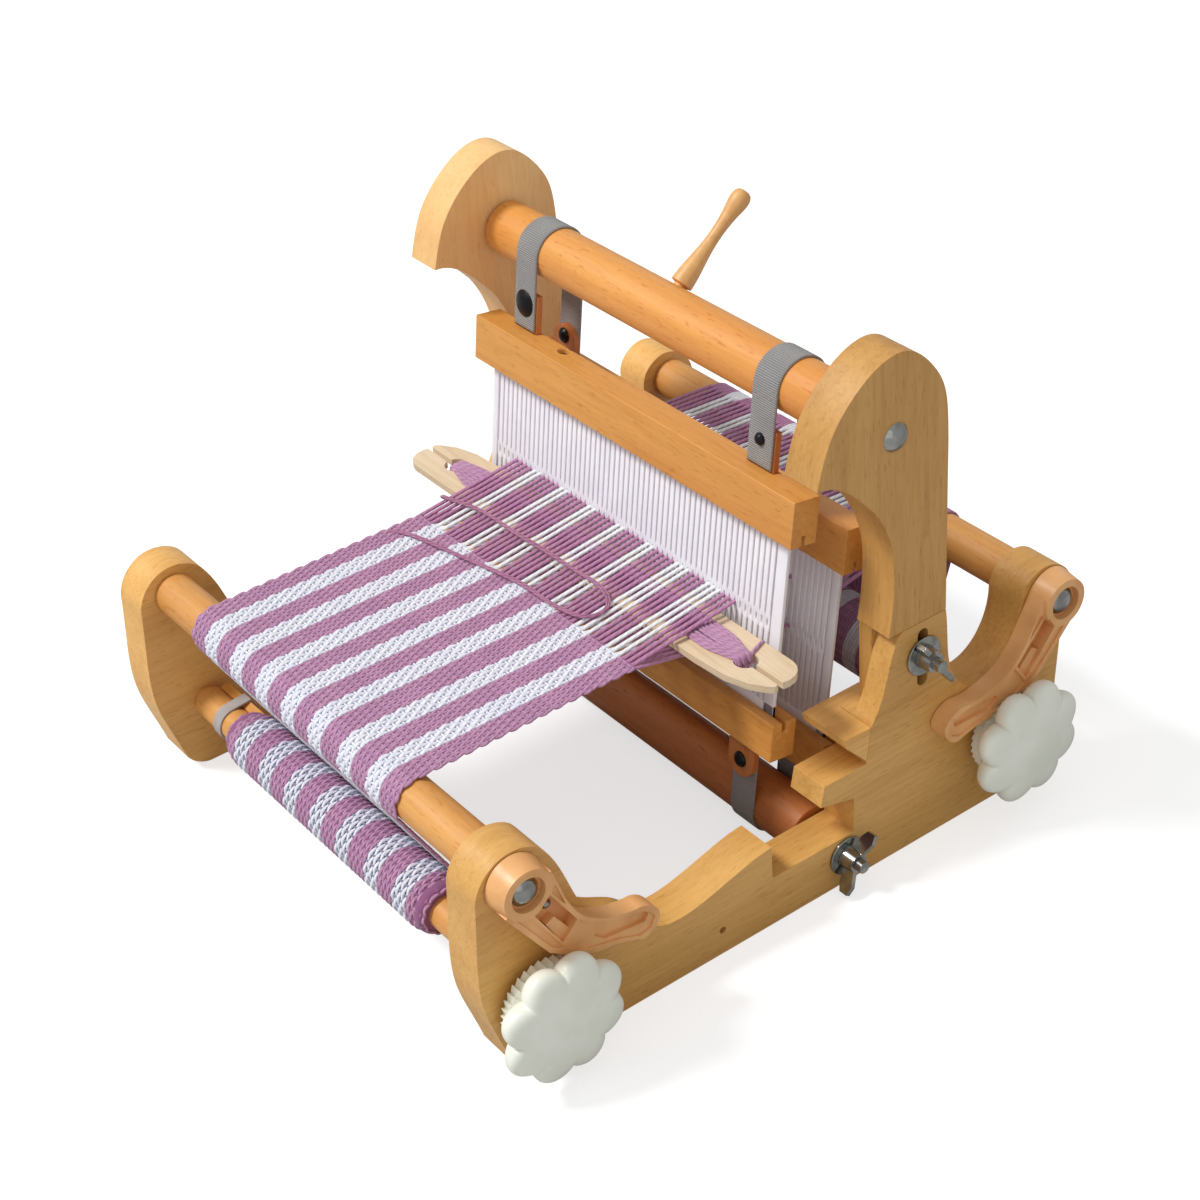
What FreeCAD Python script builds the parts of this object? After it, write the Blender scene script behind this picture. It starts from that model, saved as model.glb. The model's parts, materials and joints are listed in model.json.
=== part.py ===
import FreeCAD, Part
import math
import os

# A small wooden table loom with two heddle frames.
# X runs across the loom, +X is the side with the white knobs. Y runs from the weaver to the back.
# Z is up and the rails' undersides lie on z = 0. All sizes are millimetres.
# Y values are drawn from a datum 7.5 in front of the top roller. The last section moves every piece
# so that the origin lies at the bottom centre of the whole loom's box.

os.makedirs("parts", exist_ok=True)
Vector = FreeCAD.Vector

# Driving sizes: side frames
inner_width = 250.0
board = 20.0
wood_gap = 0.2
soft_gap = 0.3
running_gap = 0.05

# Driving sizes: lying beams
breast_y = -194.0
back_y = 99.0
beam_z = 99.5
beam_radius = 10.0
beam_end_gap = 0.2

# Driving sizes: winding beams and their knobs
cloth_y = -188.0
cloth_z = 36.0
warp_y = 71.0
warp_z = 41.0
winder_radius = 8.0
stub_radius = 6.0
shoulder_gap = 4.0
stick_half = 119.0
stick_width = 8.0
stick_thickness = 4.0
stick_turn = 25.0
stick_hollow = 0.5
band_x = 96.5
band_width = 6.5
band_thickness = 1.0
ratchet_radius = 21.0
ratchet_tooth = 2.0
ratchet_teeth = 36
ratchet_thickness = 5.0
ratchet_gap = 3.5
knob_reach = 30.0
knob_lobes = 8
knob_lobe_radius = 9.0
knob_thickness = 13.0
knob_neck = 3.7
knob_neck_radius = 15.0

# Driving sizes: bolts, wing nuts and screws
bolt_radius = 2.9
bolt_hole_gap = 0.1
bolt_depth = 22.0
dome_radius = 6.6
dome_height = 3.4
washer_radius = 9.5
washer_thickness = 1.4
nut_radius = 5.6
nut_height = 7.0
wing_span = 15.0
wing_thickness = 2.4
wing_height = 9.0
clamp_nut_turn = -55.0
lap_nut_turn = 55.0
thread_overhang = 4.0
screw_radius = 1.5
screw_head_radius = 4.0
screw_head_height = 2.4
disc_head_radius = 6.8
small_head_radius = 3.0

# Driving sizes: lap joint between the rails, notch and step
joint_y = -27.6
notch_rear_y = -16.5
notch_floor = 26.0
step_y = -63.5
step_height = 17.0
lap_end_y = 10.0
peg_hole_y = -91.9
peg_hole_z = 12.9
peg_hole_radius = 1.75
peg_hole_depth = 12.0

# Driving sizes: posts and uprights
post_front_y = 5.0
post_rear_y = 37.0
shoulder_z = 119.5
tongue_foot_z = 79.0
tongue_thickness = 8.0
clamp_y = 23.6
clamp_z = 102.0
slot_top_z = 115.6
slot_foot_z = 86.0
upright_top = 134.8
rest_top = 78.0
rest_overhang = 12.0
rest_lip = 4.5
rest_inset = 8.0

# Driving sizes: rollers and straps
top_roller_y = 7.5
top_roller_z = 217.0
lower_roller_y = -21.5
lower_roller_z = 15.5
roller_radius = 13.0
flange_radius = 7.0
flange_thickness = 2.0
journal_radius = 3.0
journal_length = 12.0
upper_strap_left_inset = 36.3
upper_strap_right_inset = 44.0
lower_strap_inset = 35.0
strap_width = 15.5
strap_thickness = 1.2
handle_x = -5.0
handle_reach = 64.0
handle_angle = 40.0
handle_tenon = 8.0

# Driving sizes: heddle frames, measured along and square to their slide
frame_half = 115.0
bar_thickness = 14.0
top_bar_height = 22.0
lower_bar_height = 19.2
bar_centre = 16.0
frame_drop = 36.8
frame_window = 86.5
frame_travel = 21.5
sheet_half = 107.4
sheet_thickness = 2.0
sheet_grip = 5.0
sheet_slots = 36
slot_width = 1.6
slot_margin = 9.0
tab_width = 17.0
tab_thickness = 3.0
top_tab_height = 18.8
lower_tab_height = 21.5
tab_seat = 8.0

# Driving sizes: yarn, cloth and shuttle
warp_centre_x = -4.0
warp_width = 166.0
warp_thickness = 0.8
layer_thickness = 0.55
layer_step = 0.65
cloth_thickness = 1.2
cloth_roll_radius = 13.5
warp_roll_radius = 17.0
fell_y = -81.5
eye_rise = -1.0
shuttle_length = 265.0
shuttle_width = 29.0
shuttle_thickness = 3.6
shuttle_y = -43.0
shuttle_x = -2.5
keyhole_inset = 23.0
keyhole_radius = 5.5
slit_width = 2.4
winding_width = 17.0
winding_height = 2.0
tail_radius = 1.0

# Worked-out planes
rail_in = inner_width / 2
rail_out = rail_in + board
run_y = top_roller_y - lower_roller_y
run_z = top_roller_z - lower_roller_z
lean = math.degrees(math.atan2(run_y, run_z))
roller_distance = math.hypot(run_y, run_z)
upper_strap_left = upper_strap_left_inset - rail_in
upper_strap_right = rail_in - upper_strap_right_inset
lower_strap_left = lower_strap_inset - rail_in
lower_strap_right = rail_in - lower_strap_inset

pieces = {}


# Helpers for outlines, bodies of revolution and joining

def side_point(x, y, z):
    return Vector(x, y, z)


def outline_face(steps, x):
    """A face in a plane across X, from corner points and splines given as lists of points."""
    edges = []
    start = steps[0]
    here = start
    for step in steps[1:] + [start]:
        if isinstance(step, list):
            curve = Part.BSplineCurve()
            curve.interpolate([side_point(x, *here)] + [side_point(x, *p) for p in step])
            edges.append(curve.toShape())
            here = step[-1]
        else:
            if math.dist(here, step) > 1e-6:
                edges.append(Part.LineSegment(side_point(x, *here), side_point(x, *step)).toShape())
            here = step
    return Part.Face(Part.Wire(edges))


def slab(steps, x_from, x_to):
    """An outline in the side view, as thick as the stretch of X it fills."""
    return outline_face(steps, x_from).extrude(Vector(x_to - x_from, 0, 0))


def box(x_from, x_to, y_from, y_to, z_from, z_to):
    return Part.makeBox(x_to - x_from, y_to - y_from, z_to - z_from, Vector(x_from, y_from, z_from))


def rod(x_from, x_to, y, z, radius):
    """A round bar along X."""
    return Part.makeCylinder(radius, x_to - x_from, Vector(x_from, y, z), Vector(1, 0, 0))


def dome(x, y, z, side, radius, height):
    """A low domed bolt head that stands on the plane at x and rises along side times X."""
    ball = (radius * radius + height * height) / (2 * height)
    centre = Vector(x + side * (height - ball), y, z)
    cap = Part.makeSphere(ball, centre)
    return cap.common(Part.makeCylinder(radius, height, Vector(x, y, z), Vector(side, 0, 0)))


def fuse(shapes):
    joined = shapes[0].fuse(shapes[1:]) if len(shapes) > 1 else shapes[0]
    return joined.removeSplitter()


def mirrored(shape):
    """The same piece on the other side of the loom."""
    return shape.mirror(Vector(0, 0, 0), Vector(1, 0, 0))


def group(shapes):
    return Part.makeCompound(shapes)


def span(side, near, far):
    """X limits of a stretch between two distances from the middle, on one side."""
    return (near, far) if side > 0 else (-far, -near)


# Front rails: breast beam lobe, long dip, step, notch floor and half of the lap joint

def front_rail_outline():
    step_top = notch_floor + step_height
    dip_y = (step_y + cloth_y) / 2
    inner = [(dip_y + 26, step_top - 8.2), (dip_y, step_top - 7.4), (cloth_y + 53, step_top + 0.5),
             (cloth_y + 36, step_top + 11), (breast_y + 31, beam_z - 29.5),
             (breast_y + 24, beam_z - 10), (breast_y + 14.5, beam_z + 8.5)]
    crown = [(breast_y + 8, beam_z + 12.7), (breast_y - 5, beam_z + 13.2),
             (breast_y - 13.5, beam_z + 7), (breast_y - 18, beam_z - 6)]
    front = [(breast_y - 20, beam_z - 32), (breast_y - 19.5, beam_z - 56),
             (cloth_y - 21.5, cloth_z - 8), (cloth_y - 15.5, cloth_z - 28)]
    toe = [(cloth_y - 11.5, 3.2), (cloth_y - 4, 0)]
    return [(joint_y, 0), (joint_y, notch_floor), (step_y, notch_floor), (step_y, step_top),
            inner, crown, front, toe]


lap_middle = rail_in + board / 2


def front_rail(side):
    low, high = span(side, rail_in, rail_out)
    body = slab(front_rail_outline(), low, high)
    lap_low, lap_high = span(side, rail_in, lap_middle)
    lap = box(lap_low, lap_high, joint_y - 1, lap_end_y, 0, notch_floor)
    body = fuse([body, lap])
    holes = [rod(low - 1, high + 1, breast_y, beam_z, bolt_radius + bolt_hole_gap),
             rod(low - 1, high + 1, lower_roller_y, lower_roller_z, bolt_radius + bolt_hole_gap),
             rod(low - 1, high + 1, cloth_y, cloth_z, stub_radius + running_gap)]
    peg_low, peg_high = span(side, rail_out - peg_hole_depth, rail_out + 1)
    holes.append(rod(peg_low, peg_high, peg_hole_y, peg_hole_z, peg_hole_radius))
    return body.cut(holes)


# Rear rails: nose, slotted post, U-gap and the head that carries the back beam

wall_foot_y = joint_y + 18.6
nose_top_z = notch_floor + 33.6


def rear_rail_outline():
    nose = [(notch_rear_y, notch_floor), (notch_rear_y, notch_floor + 18.5),
            (joint_y - 7.9, notch_floor + 23.3), (joint_y - 5.6, nose_top_z), (wall_foot_y, nose_top_z),
            (wall_foot_y + 2.7, rest_top)]
    post_front = [(post_front_y - 4.5, rest_top + 12.8), (post_front_y + 1, shoulder_z - 10),
                  (post_front_y + 4, shoulder_z - 2.5)]
    gap_front = [(post_rear_y + 1.5, shoulder_z - 20), (post_rear_y + 4, shoulder_z - 34),
                 (post_rear_y + 11, shoulder_z - 45)]
    gap_rear = [(back_y - 41, beam_z - 29.5), (back_y - 31, beam_z - 27), (back_y - 24, beam_z - 21),
                (back_y - 18.5, beam_z - 11), (back_y - 16.5, beam_z + 1)]
    head = [(back_y - 13, beam_z + 9.5), (back_y - 3, beam_z + 14.5), (back_y + 7, beam_z + 11.8),
            (back_y + 14.2, beam_z + 3.5), (back_y + 15.5, beam_z - 5)]
    tail = [(back_y + 10.6, beam_z - 20), (back_y + 9.2, beam_z - 33), (back_y + 7.5, beam_z - 55),
            (back_y + 6.5, 4)]
    return [(joint_y, 0), (joint_y, notch_floor)] + nose + [post_front,
            (post_front_y + 6.5, shoulder_z), (post_rear_y, shoulder_z), gap_front, gap_rear, head,
            tail, (back_y + 3.5, 0)]


def rear_rail(side):
    low, high = span(side, rail_in, rail_out)
    body = slab(rear_rail_outline(), low, high)
    lap_low, lap_high = span(side, rail_in - 1, lap_middle)
    lap_cut = box(lap_low, lap_high, joint_y - 1, lap_end_y + wood_gap, -1, notch_floor)
    tongue_low, tongue_high = span(side, rail_in - 1, rail_in + tongue_thickness + wood_gap)
    tongue_cut = box(tongue_low, tongue_high, wall_foot_y - 1, post_rear_y + 1,
                     tongue_foot_z - wood_gap, shoulder_z + 1)
    slot_half = bolt_radius + bolt_hole_gap
    slot = fuse([box(low - 1, high + 1, clamp_y - slot_half, clamp_y + slot_half,
                     slot_foot_z + slot_half, slot_top_z - slot_half),
                 rod(low - 1, high + 1, clamp_y, slot_foot_z + slot_half, slot_half),
                 rod(low - 1, high + 1, clamp_y, slot_top_z - slot_half, slot_half)])
    holes = [rod(low - 1, high + 1, back_y, beam_z, bolt_radius + bolt_hole_gap),
             rod(low - 1, high + 1, lower_roller_y, lower_roller_z, bolt_radius + bolt_hole_gap),
             rod(low - 1, high + 1, warp_y, warp_z, stub_radius + running_gap)]
    return body.cut([lap_cut, tongue_cut, slot] + holes)


# Rest blocks: ledges on the rails' inner faces, with a lip that reaches out over the nose

rest_front_y = wall_foot_y - rest_overhang
rest_rear_y = wall_foot_y + 21.0


def rest_block(side):
    low, high = span(side, rail_in - rest_inset, rail_out)
    outline = [(rest_front_y, rest_top), (rest_front_y + 0.8, rest_top - rest_lip),
               (wall_foot_y, nose_top_z + 1.5), (rest_rear_y, nose_top_z + 1.5), (rest_rear_y, rest_top)]
    plank = slab(outline, low, high)
    rail_low, rail_high = span(side, rail_in, rail_out + 1)
    wall = [(wall_foot_y - 2, nose_top_z - 5), (wall_foot_y - wood_gap, nose_top_z),
            (wall_foot_y + 2.7 - wood_gap, rest_top), (wall_foot_y + 2.9, rest_top + 5),
            (rest_rear_y + 5, rest_top + 5), (rest_rear_y + 5, nose_top_z - 5)]
    return plank.cut(slab(wall, rail_low, rail_high))


# Uprights: hooked head above the shoulder, thin tongue beside the slotted post below it

def upright_outline():
    top = shoulder_z + upright_top
    rear = [(post_rear_y - 0.6, top - 35.6), (post_rear_y - 3, top - 23), (post_rear_y - 10.5, top - 10.5),
            (top_roller_y + 5, top), (top_roller_y - 8.5, top - 1.5), (top_roller_y - 18.7, top - 7.4),
            (top_roller_y - 27.7, top - 15.7), (top_roller_y - 34.1, top - 24.5),
            (top_roller_y - 38.7, top - 35.3), (top_roller_y - 41.8, top - 46.2)]
    beak = [(top_roller_y - 36.6, top - 46.8), (top_roller_y - 28.1, top - 51),
            (top_roller_y - 21.8, top - 56.5), (top_roller_y - 11.5, top - 68.1)]
    front = [(post_front_y - 3.5, top - 77.7), (post_front_y + 1.5, top - 94),
             (post_front_y + 2.2, shoulder_z + 30), (post_front_y + 1.2, shoulder_z + 14),
             (post_front_y - 1.1, shoulder_z + wood_gap)]
    return [(post_rear_y, shoulder_z + wood_gap), (post_rear_y, top - 50), rear, beak, front]


def upright(side):
    low, high = span(side, rail_in, rail_out)
    body = slab(upright_outline(), low, high)
    tongue_low, tongue_high = span(side, rail_in, rail_in + tongue_thickness)
    tongue = box(tongue_low, tongue_high, post_front_y, post_rear_y, tongue_foot_z, shoulder_z + 5)
    holes = [rod(low - 1, high + 1, top_roller_y, top_roller_z, bolt_radius + bolt_hole_gap),
             rod(low - 1, high + 1, clamp_y, clamp_z, bolt_radius + bolt_hole_gap)]
    return fuse([body, tongue]).cut(holes)


for side, word in ((-1, "left"), (1, "right")):
    pieces["front_rail_" + word] = front_rail(side)
    pieces["rear_rail_" + word] = rear_rail(side)
    pieces["rest_block_" + word] = rest_block(side)
    pieces["upright_" + word] = upright(side)


# Lying beams and the domed bolts in their ends

pawl_gap = 0.4
pawl_boss_thickness = 11.0
pawl_sink = 3.5


def lying_beam(y):
    length = rail_in - beam_end_gap
    beam = rod(-length, length, y, beam_z, beam_radius)
    bore = bolt_radius + bolt_hole_gap
    return beam.cut([rod(-length - 1, -length + bolt_depth, y, beam_z, bore),
                     rod(length - bolt_depth, length + 1, y, beam_z, bore)])


def beam_bolt(side, y, head_x):
    inner = rail_in - bolt_depth + 2
    shank = rod(*span(side, inner, head_x), y, beam_z, bolt_radius)
    return fuse([shank, dome(side * head_x, y, beam_z, side, dome_radius, dome_height)])


pawl_head_x = rail_out + pawl_gap + pawl_boss_thickness - pawl_sink + pawl_gap
pieces["breast_beam"] = lying_beam(breast_y)
pieces["back_beam"] = lying_beam(back_y)
for name, y in (("breast_beam_bolts", breast_y), ("back_beam_bolts", back_y)):
    pieces[name] = group([beam_bolt(-1, y, rail_out), beam_bolt(1, y, pawl_head_x)])


# Lap bolts: a flange on the rail's inner face, a journal for the lower roller, a thread outside

def wing_nut(side, y, z, turn):
    """A round-hubbed nut with two wings, its seat on the outer face of a washer."""
    foot = rail_out + washer_thickness + 0.1
    hub = Part.makeCone(nut_radius, nut_radius * 0.8, nut_height, Vector(foot, y, z), Vector(1, 0, 0))
    wing_profile = [(nut_radius * 0.5, 0.6), (wing_span * 0.75, 2.4), (wing_span, 4.6),
                    (wing_span, wing_height), (wing_span * 0.72, wing_height + 0.8),
                    (nut_radius * 0.7, nut_height)]
    wires = [Vector(foot + rise, y + out, z - wing_thickness / 2) for out, rise in wing_profile]
    wing = Part.Face(Part.makePolygon(wires + [wires[0]])).extrude(Vector(0, 0, wing_thickness))
    other = wing.copy()
    other.rotate(Vector(0, y, z), Vector(1, 0, 0), 180)
    nut = fuse([hub, wing, other]).cut(rod(foot - 1, foot + nut_height + wing_height, y, z,
                                           bolt_radius + running_gap))
    nut.rotate(Vector(0, y, z), Vector(1, 0, 0), turn)
    return nut if side > 0 else mirrored(nut)


def washer(side, y, z):
    ring = rod(rail_out, rail_out + washer_thickness, y, z, washer_radius)
    ring = ring.cut(rod(rail_out - 1, rail_out + 5, y, z, bolt_radius + bolt_hole_gap))
    return ring if side > 0 else mirrored(ring)


thread_end = rail_out + washer_thickness + nut_height + thread_overhang
roller_end = rail_in - flange_thickness - running_gap


def lap_bolt(side):
    y, z = lower_roller_y, lower_roller_z
    journal = rod(*span(side, roller_end - journal_length, rail_in), y, z, journal_radius)
    flange = rod(*span(side, rail_in - flange_thickness, rail_in), y, z, flange_radius)
    shank = rod(*span(side, rail_in, thread_end), y, z, bolt_radius)
    return fuse([journal, flange, shank])


def clamp_bolt(side):
    shank = rod(*span(side, rail_in, thread_end), clamp_y, clamp_z, bolt_radius)
    return fuse([shank, dome(side * rail_in, clamp_y, clamp_z, -side, dome_radius, dome_height)])


pieces["lap_bolts"] = group([lap_bolt(-1), lap_bolt(1)])
pieces["lap_washers"] = group([washer(side, lower_roller_y, lower_roller_z) for side in (-1, 1)])
pieces["upright_bolts"] = group([clamp_bolt(-1), clamp_bolt(1)])
pieces["upright_washers"] = group([washer(side, clamp_y, clamp_z) for side in (-1, 1)])
for side, word in ((-1, "left"), (1, "right")):
    pieces["lap_wing_nut_" + word] = wing_nut(side, lower_roller_y, lower_roller_z, lap_nut_turn)
    pieces["upright_wing_nut_" + word] = wing_nut(side, clamp_y, clamp_z, clamp_nut_turn)


# Strap rollers, the turned handle and the top roller's bolts

def roller(y, z):
    body = rod(-roller_end, roller_end, y, z, roller_radius)
    bore = journal_radius + running_gap
    depth = journal_length + 1
    return body.cut([rod(-roller_end - 1, -roller_end + depth, y, z, bore),
                     rod(roller_end - depth, roller_end + 1, y, z, bore)])


def top_roller_bolt(side):
    y, z = top_roller_y, top_roller_z
    journal = rod(*span(side, roller_end - journal_length, rail_in), y, z, journal_radius)
    collar = rod(*span(side, rail_in - flange_thickness, rail_in), y, z, flange_radius)
    shank = rod(*span(side, rail_in, rail_out), y, z, bolt_radius)
    return fuse([journal, collar, shank, dome(side * rail_out, y, z, side, dome_radius, dome_height)])


def handle():
    """A turned pull: tenon, swelling foot, slim neck and round bulb, drawn upright, then tilted."""
    foot = roller_radius - 1.0
    profile = [(0, foot - handle_tenon), (3, foot - handle_tenon), (3, foot + 1.6), (5.2, foot + 2.4)]
    neck = [(4.4, foot + 12), (3.0, foot + 24), (2.9, foot + 32), (3.9, handle_reach - 10)]
    bulb = [(4.6, handle_reach - 5), (3.8, handle_reach - 1.2), (0, handle_reach)]
    points = [Vector(r, 0, h) for r, h in profile]
    edges = [Part.LineSegment(a, b).toShape() for a, b in zip(points, points[1:])]
    for stretch in (neck, bulb):
        curve = Part.BSplineCurve()
        curve.interpolate([points[-1]] + [Vector(r, 0, h) for r, h in stretch])
        edges.append(curve.toShape())
        points.append(Vector(stretch[-1][0], 0, stretch[-1][1]))
    edges.append(Part.LineSegment(points[-1], points[0]).toShape())
    turned = Part.Face(Part.Wire(edges)).revolve(Vector(0, 0, 0), Vector(0, 0, 1), 360)
    turned.rotate(Vector(0, 0, 0), Vector(1, 0, 0), handle_angle - 90)
    turned.translate(Vector(handle_x, top_roller_y, top_roller_z))
    return turned


pieces["roller_handle"] = handle()
pieces["top_roller"] = roller(top_roller_y, top_roller_z).cut(pieces["roller_handle"])
pieces["top_roller_bolts"] = group([top_roller_bolt(-1), top_roller_bolt(1)])
pieces["lower_roller"] = roller(lower_roller_y, lower_roller_z)


# Heddle frames, drawn upright about the top roller's axis and then leaned as the straps run

def leaned(shape):
    shape = shape.copy()
    shape.rotate(Vector(0, 0, 0), Vector(1, 0, 0), -lean)
    shape.translate(Vector(0, top_roller_y, top_roller_z))
    return shape


def lean_point(across, along):
    """Y and Z of a point given square to and along the frames' slide, from the top roller's axis."""
    turn = math.radians(lean)
    return (top_roller_y + across * math.cos(turn) + along * math.sin(turn),
            top_roller_z - across * math.sin(turn) + along * math.cos(turn))


strap_in = roller_radius
strap_out = roller_radius + strap_thickness


def square_tab(x, across, high, low):
    half = tab_width / 2
    return box(x - half, x + half, across, across + tab_thickness, low, high)


def rounded_tab(x, across, high, low, round_low):
    """A tab whose free end is a half round."""
    half = tab_width / 2
    middle = low + half if round_low else high - half
    disc = Part.makeCylinder(half, tab_thickness, Vector(x, across, middle), Vector(0, 1, 0))
    square = square_tab(x, across, high, middle) if round_low else square_tab(x, across, middle, low)
    return fuse([disc, square])


def frame_screw(x, along, head_from, facing, length, head_radius=screw_head_radius):
    """A black round-headed screw along Y, its head on the plane head_from, pointing to facing."""
    start = Vector(x, head_from, along)
    ball = (head_radius ** 2 + screw_head_height ** 2) / (2 * screw_head_height)
    centre = Vector(x, head_from + facing * (screw_head_height - ball), along)
    rim_latitude = math.degrees(math.asin((ball - screw_head_height) / ball))
    head = Part.makeSphere(ball, centre, Vector(0, facing, 0), rim_latitude, 90, 360)
    shank = Part.makeCylinder(screw_radius, length, start, Vector(0, -facing, 0))
    return fuse([shank, head])


def screw_hole(x, along):
    radius = screw_radius + bolt_hole_gap
    return Part.makeCylinder(radius, 4 * strap_out, Vector(x, -2 * strap_out, along), Vector(0, 1, 0))


screw_below_tab_top = 5.5


def heddle_frame(word, facing, top):
    """One frame. facing is -1 for the front one and +1 for the rear one, top is its upper edge."""
    centre = facing * bar_centre
    low_face = centre - bar_thickness / 2
    high_face = centre + bar_thickness / 2
    bar_foot = top - top_bar_height
    lower_top = bar_foot - frame_window
    foot = lower_top - lower_bar_height
    top_bar = box(-frame_half, frame_half, low_face, high_face, bar_foot, top)
    lower_bar = box(-frame_half, frame_half, low_face, high_face, foot, lower_top)
    groove = box(-frame_half - 1, frame_half + 1, centre - sheet_thickness / 2,
                 centre + sheet_thickness / 2, lower_top - sheet_grip, bar_foot + sheet_grip)
    sheet = box(-sheet_half, sheet_half, centre - sheet_thickness / 2, centre + sheet_thickness / 2,
                lower_top - sheet_grip, bar_foot + sheet_grip)
    pitch = 2 * sheet_half / (sheet_slots + 1)
    slots = []
    for i in range(sheet_slots):
        slot_x = -sheet_half + (i + 1) * pitch
        slots.append(box(slot_x - slot_width / 2, slot_x + slot_width / 2, centre - sheet_thickness,
                         centre + sheet_thickness, lower_top + slot_margin, bar_foot - slot_margin))
    tabs = []
    screws = []
    upper_near = facing * (strap_in - tab_thickness)
    lower_near = facing * strap_out
    upper_y = min(upper_near, facing * strap_in)
    lower_y = min(lower_near, facing * (strap_out + tab_thickness))
    upper_z = top + top_tab_height - screw_below_tab_top
    lower_z = foot - lower_tab_height + tab_width / 2
    seat = tab_width / 2 + 0.05
    for x, disc in ((upper_strap_left, disc_head_radius), (upper_strap_right, small_head_radius)):
        high, low = top + top_tab_height, top - tab_seat
        tab = rounded_tab(x, upper_y, high, low, False) if facing > 0 else square_tab(x, upper_y, high, low)
        tabs.append(tab.cut(screw_hole(x, upper_z)))
        reach = strap_thickness + tab_thickness
        if facing > 0:
            screws.append(frame_screw(x, upper_z, strap_in - tab_thickness, -1, reach))
        else:
            screws.append(frame_screw(x, upper_z, -strap_out, -1, reach, disc))
        top_bar = top_bar.cut(box(x - seat, x + seat, upper_y, upper_y + tab_thickness, low, top + 1))
    for x in (lower_strap_left, lower_strap_right):
        high, low = foot + tab_seat, foot - lower_tab_height
        tab = rounded_tab(x, lower_y, high, low, True)
        tabs.append(tab.cut(screw_hole(x, lower_z)))
        screws.append(frame_screw(x, lower_z, facing * (strap_out + tab_thickness), facing,
                                  strap_thickness + tab_thickness))
        lower_bar = lower_bar.cut(box(x - seat, x + seat, lower_y, lower_y + tab_thickness, foot - 1, high))
    pieces[word + "_frame_top_bar"] = leaned(top_bar.cut(groove))
    pieces[word + "_frame_bottom_bar"] = leaned(lower_bar.cut(groove))
    pieces[word + "_heddle_sheet"] = leaned(sheet.cut(slots))
    pieces[word + "_frame_tabs"] = leaned(group(tabs))
    pieces[word + "_frame_screws"] = leaned(group(screws))
    return upper_z, lower_z


front_top = -frame_drop
rear_top = -frame_drop - frame_travel
front_screw_up, front_screw_low = heddle_frame("front", -1, front_top)
rear_screw_up, rear_screw_low = heddle_frame("rear", 1, rear_top)


# Straps: one piece of webbing over the top roller and one under the lower roller on each side

def ring(radius_out, radius_in, x, half, along):
    tube = Part.makeCylinder(radius_out, 2 * half, Vector(x - half, 0, along), Vector(1, 0, 0))
    return tube.cut(Part.makeCylinder(radius_in, 2 * half, Vector(x - half, 0, along), Vector(1, 0, 0)))


def strap(x, along, front_end, rear_end, keep_up):
    """Webbing half way round a roller whose axis is at along, with its two straight ends."""
    half = strap_width / 2
    loop = ring(strap_out, strap_in, x, half, along)
    reach = 2 * strap_out
    keep = (along, along + reach) if keep_up else (along - reach, along)
    loop = loop.common(box(x - half - 1, x + half + 1, -reach, reach, *keep))
    front = box(x - half, x + half, -strap_out, -strap_in, min(along, front_end), max(along, front_end))
    rear = box(x - half, x + half, strap_in, strap_out, min(along, rear_end), max(along, rear_end))
    return fuse([loop, front, rear])


strap_end_gap = 1.0
front_foot = front_top - top_bar_height - frame_window - lower_bar_height
rear_foot = front_foot - frame_travel


def front_hole(x, along):
    radius = screw_radius + bolt_hole_gap
    return Part.makeCylinder(radius, 2 * strap_out, Vector(x, 0, along), Vector(0, -1, 0))


def rear_hole(x, along):
    radius = screw_radius + bolt_hole_gap
    return Part.makeCylinder(radius, 2 * strap_out, Vector(x, 0, along), Vector(0, 1, 0))


for word, upper_x, lower_x in (("left", upper_strap_left, lower_strap_left),
                               ("right", upper_strap_right, lower_strap_right)):
    upper = strap(upper_x, 0, front_top + strap_end_gap, rear_top + strap_end_gap, True)
    upper = upper.cut([front_hole(upper_x, front_screw_up), rear_hole(upper_x, rear_screw_up)])
    pieces["top_strap_" + word] = leaned(upper)
    lower = strap(lower_x, -roller_distance, front_foot - strap_end_gap, rear_foot - strap_end_gap, False)
    lower = lower.cut([front_hole(lower_x, front_screw_low), rear_hole(lower_x, rear_screw_low)])
    pieces["lower_strap_" + word] = leaned(lower)


# Winding beams with their ratchet knobs

def winder(y, z):
    length = rail_in - shoulder_gap
    body = rod(-length, length, y, z, winder_radius)
    left = rod(-rail_out, -length + 1, y, z, stub_radius)
    knob_face = rail_out + ratchet_gap + ratchet_thickness + knob_neck
    right = rod(length - 1, knob_face, y, z, stub_radius)
    return fuse([body, left, right])


def stick_point(out, across):
    """Y and Z of a point by its distance from the cloth beam's axis towards the stick and square to that."""
    turn = math.radians(stick_turn)
    return (cloth_y + out * math.cos(turn) - across * math.sin(turn),
            cloth_z + out * math.sin(turn) + across * math.cos(turn))


def tie_stick():
    """A flat stick that lies on the cloth beam, hollowed on the side that touches it."""
    half = stick_width / 2
    low, high = winder_radius - stick_hollow, winder_radius + stick_thickness
    corners = [stick_point(low, -half), stick_point(high, -half), stick_point(high, half),
               stick_point(low, half)]
    plank = slab(corners, -stick_half, stick_half)
    return plank.cut(rod(-rail_in, rail_in, cloth_y, cloth_z, winder_radius))


def around_both(x_from, x_to, grow):
    """The smallest smooth loop around the cloth beam and its stick, larger by grow on all sides."""
    radius = winder_radius + grow
    far, half = winder_radius + stick_thickness + grow, stick_width / 2 + grow
    touch = math.atan2(half, far) + math.acos(radius / math.hypot(far, half))
    out, across = radius * math.cos(touch), radius * math.sin(touch)
    corners = [stick_point(far, -half), stick_point(far, half), stick_point(out, across),
               stick_point(out, -across)]
    return fuse([rod(x_from, x_to, cloth_y, cloth_z, radius), slab(corners, x_from, x_to)])


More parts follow.
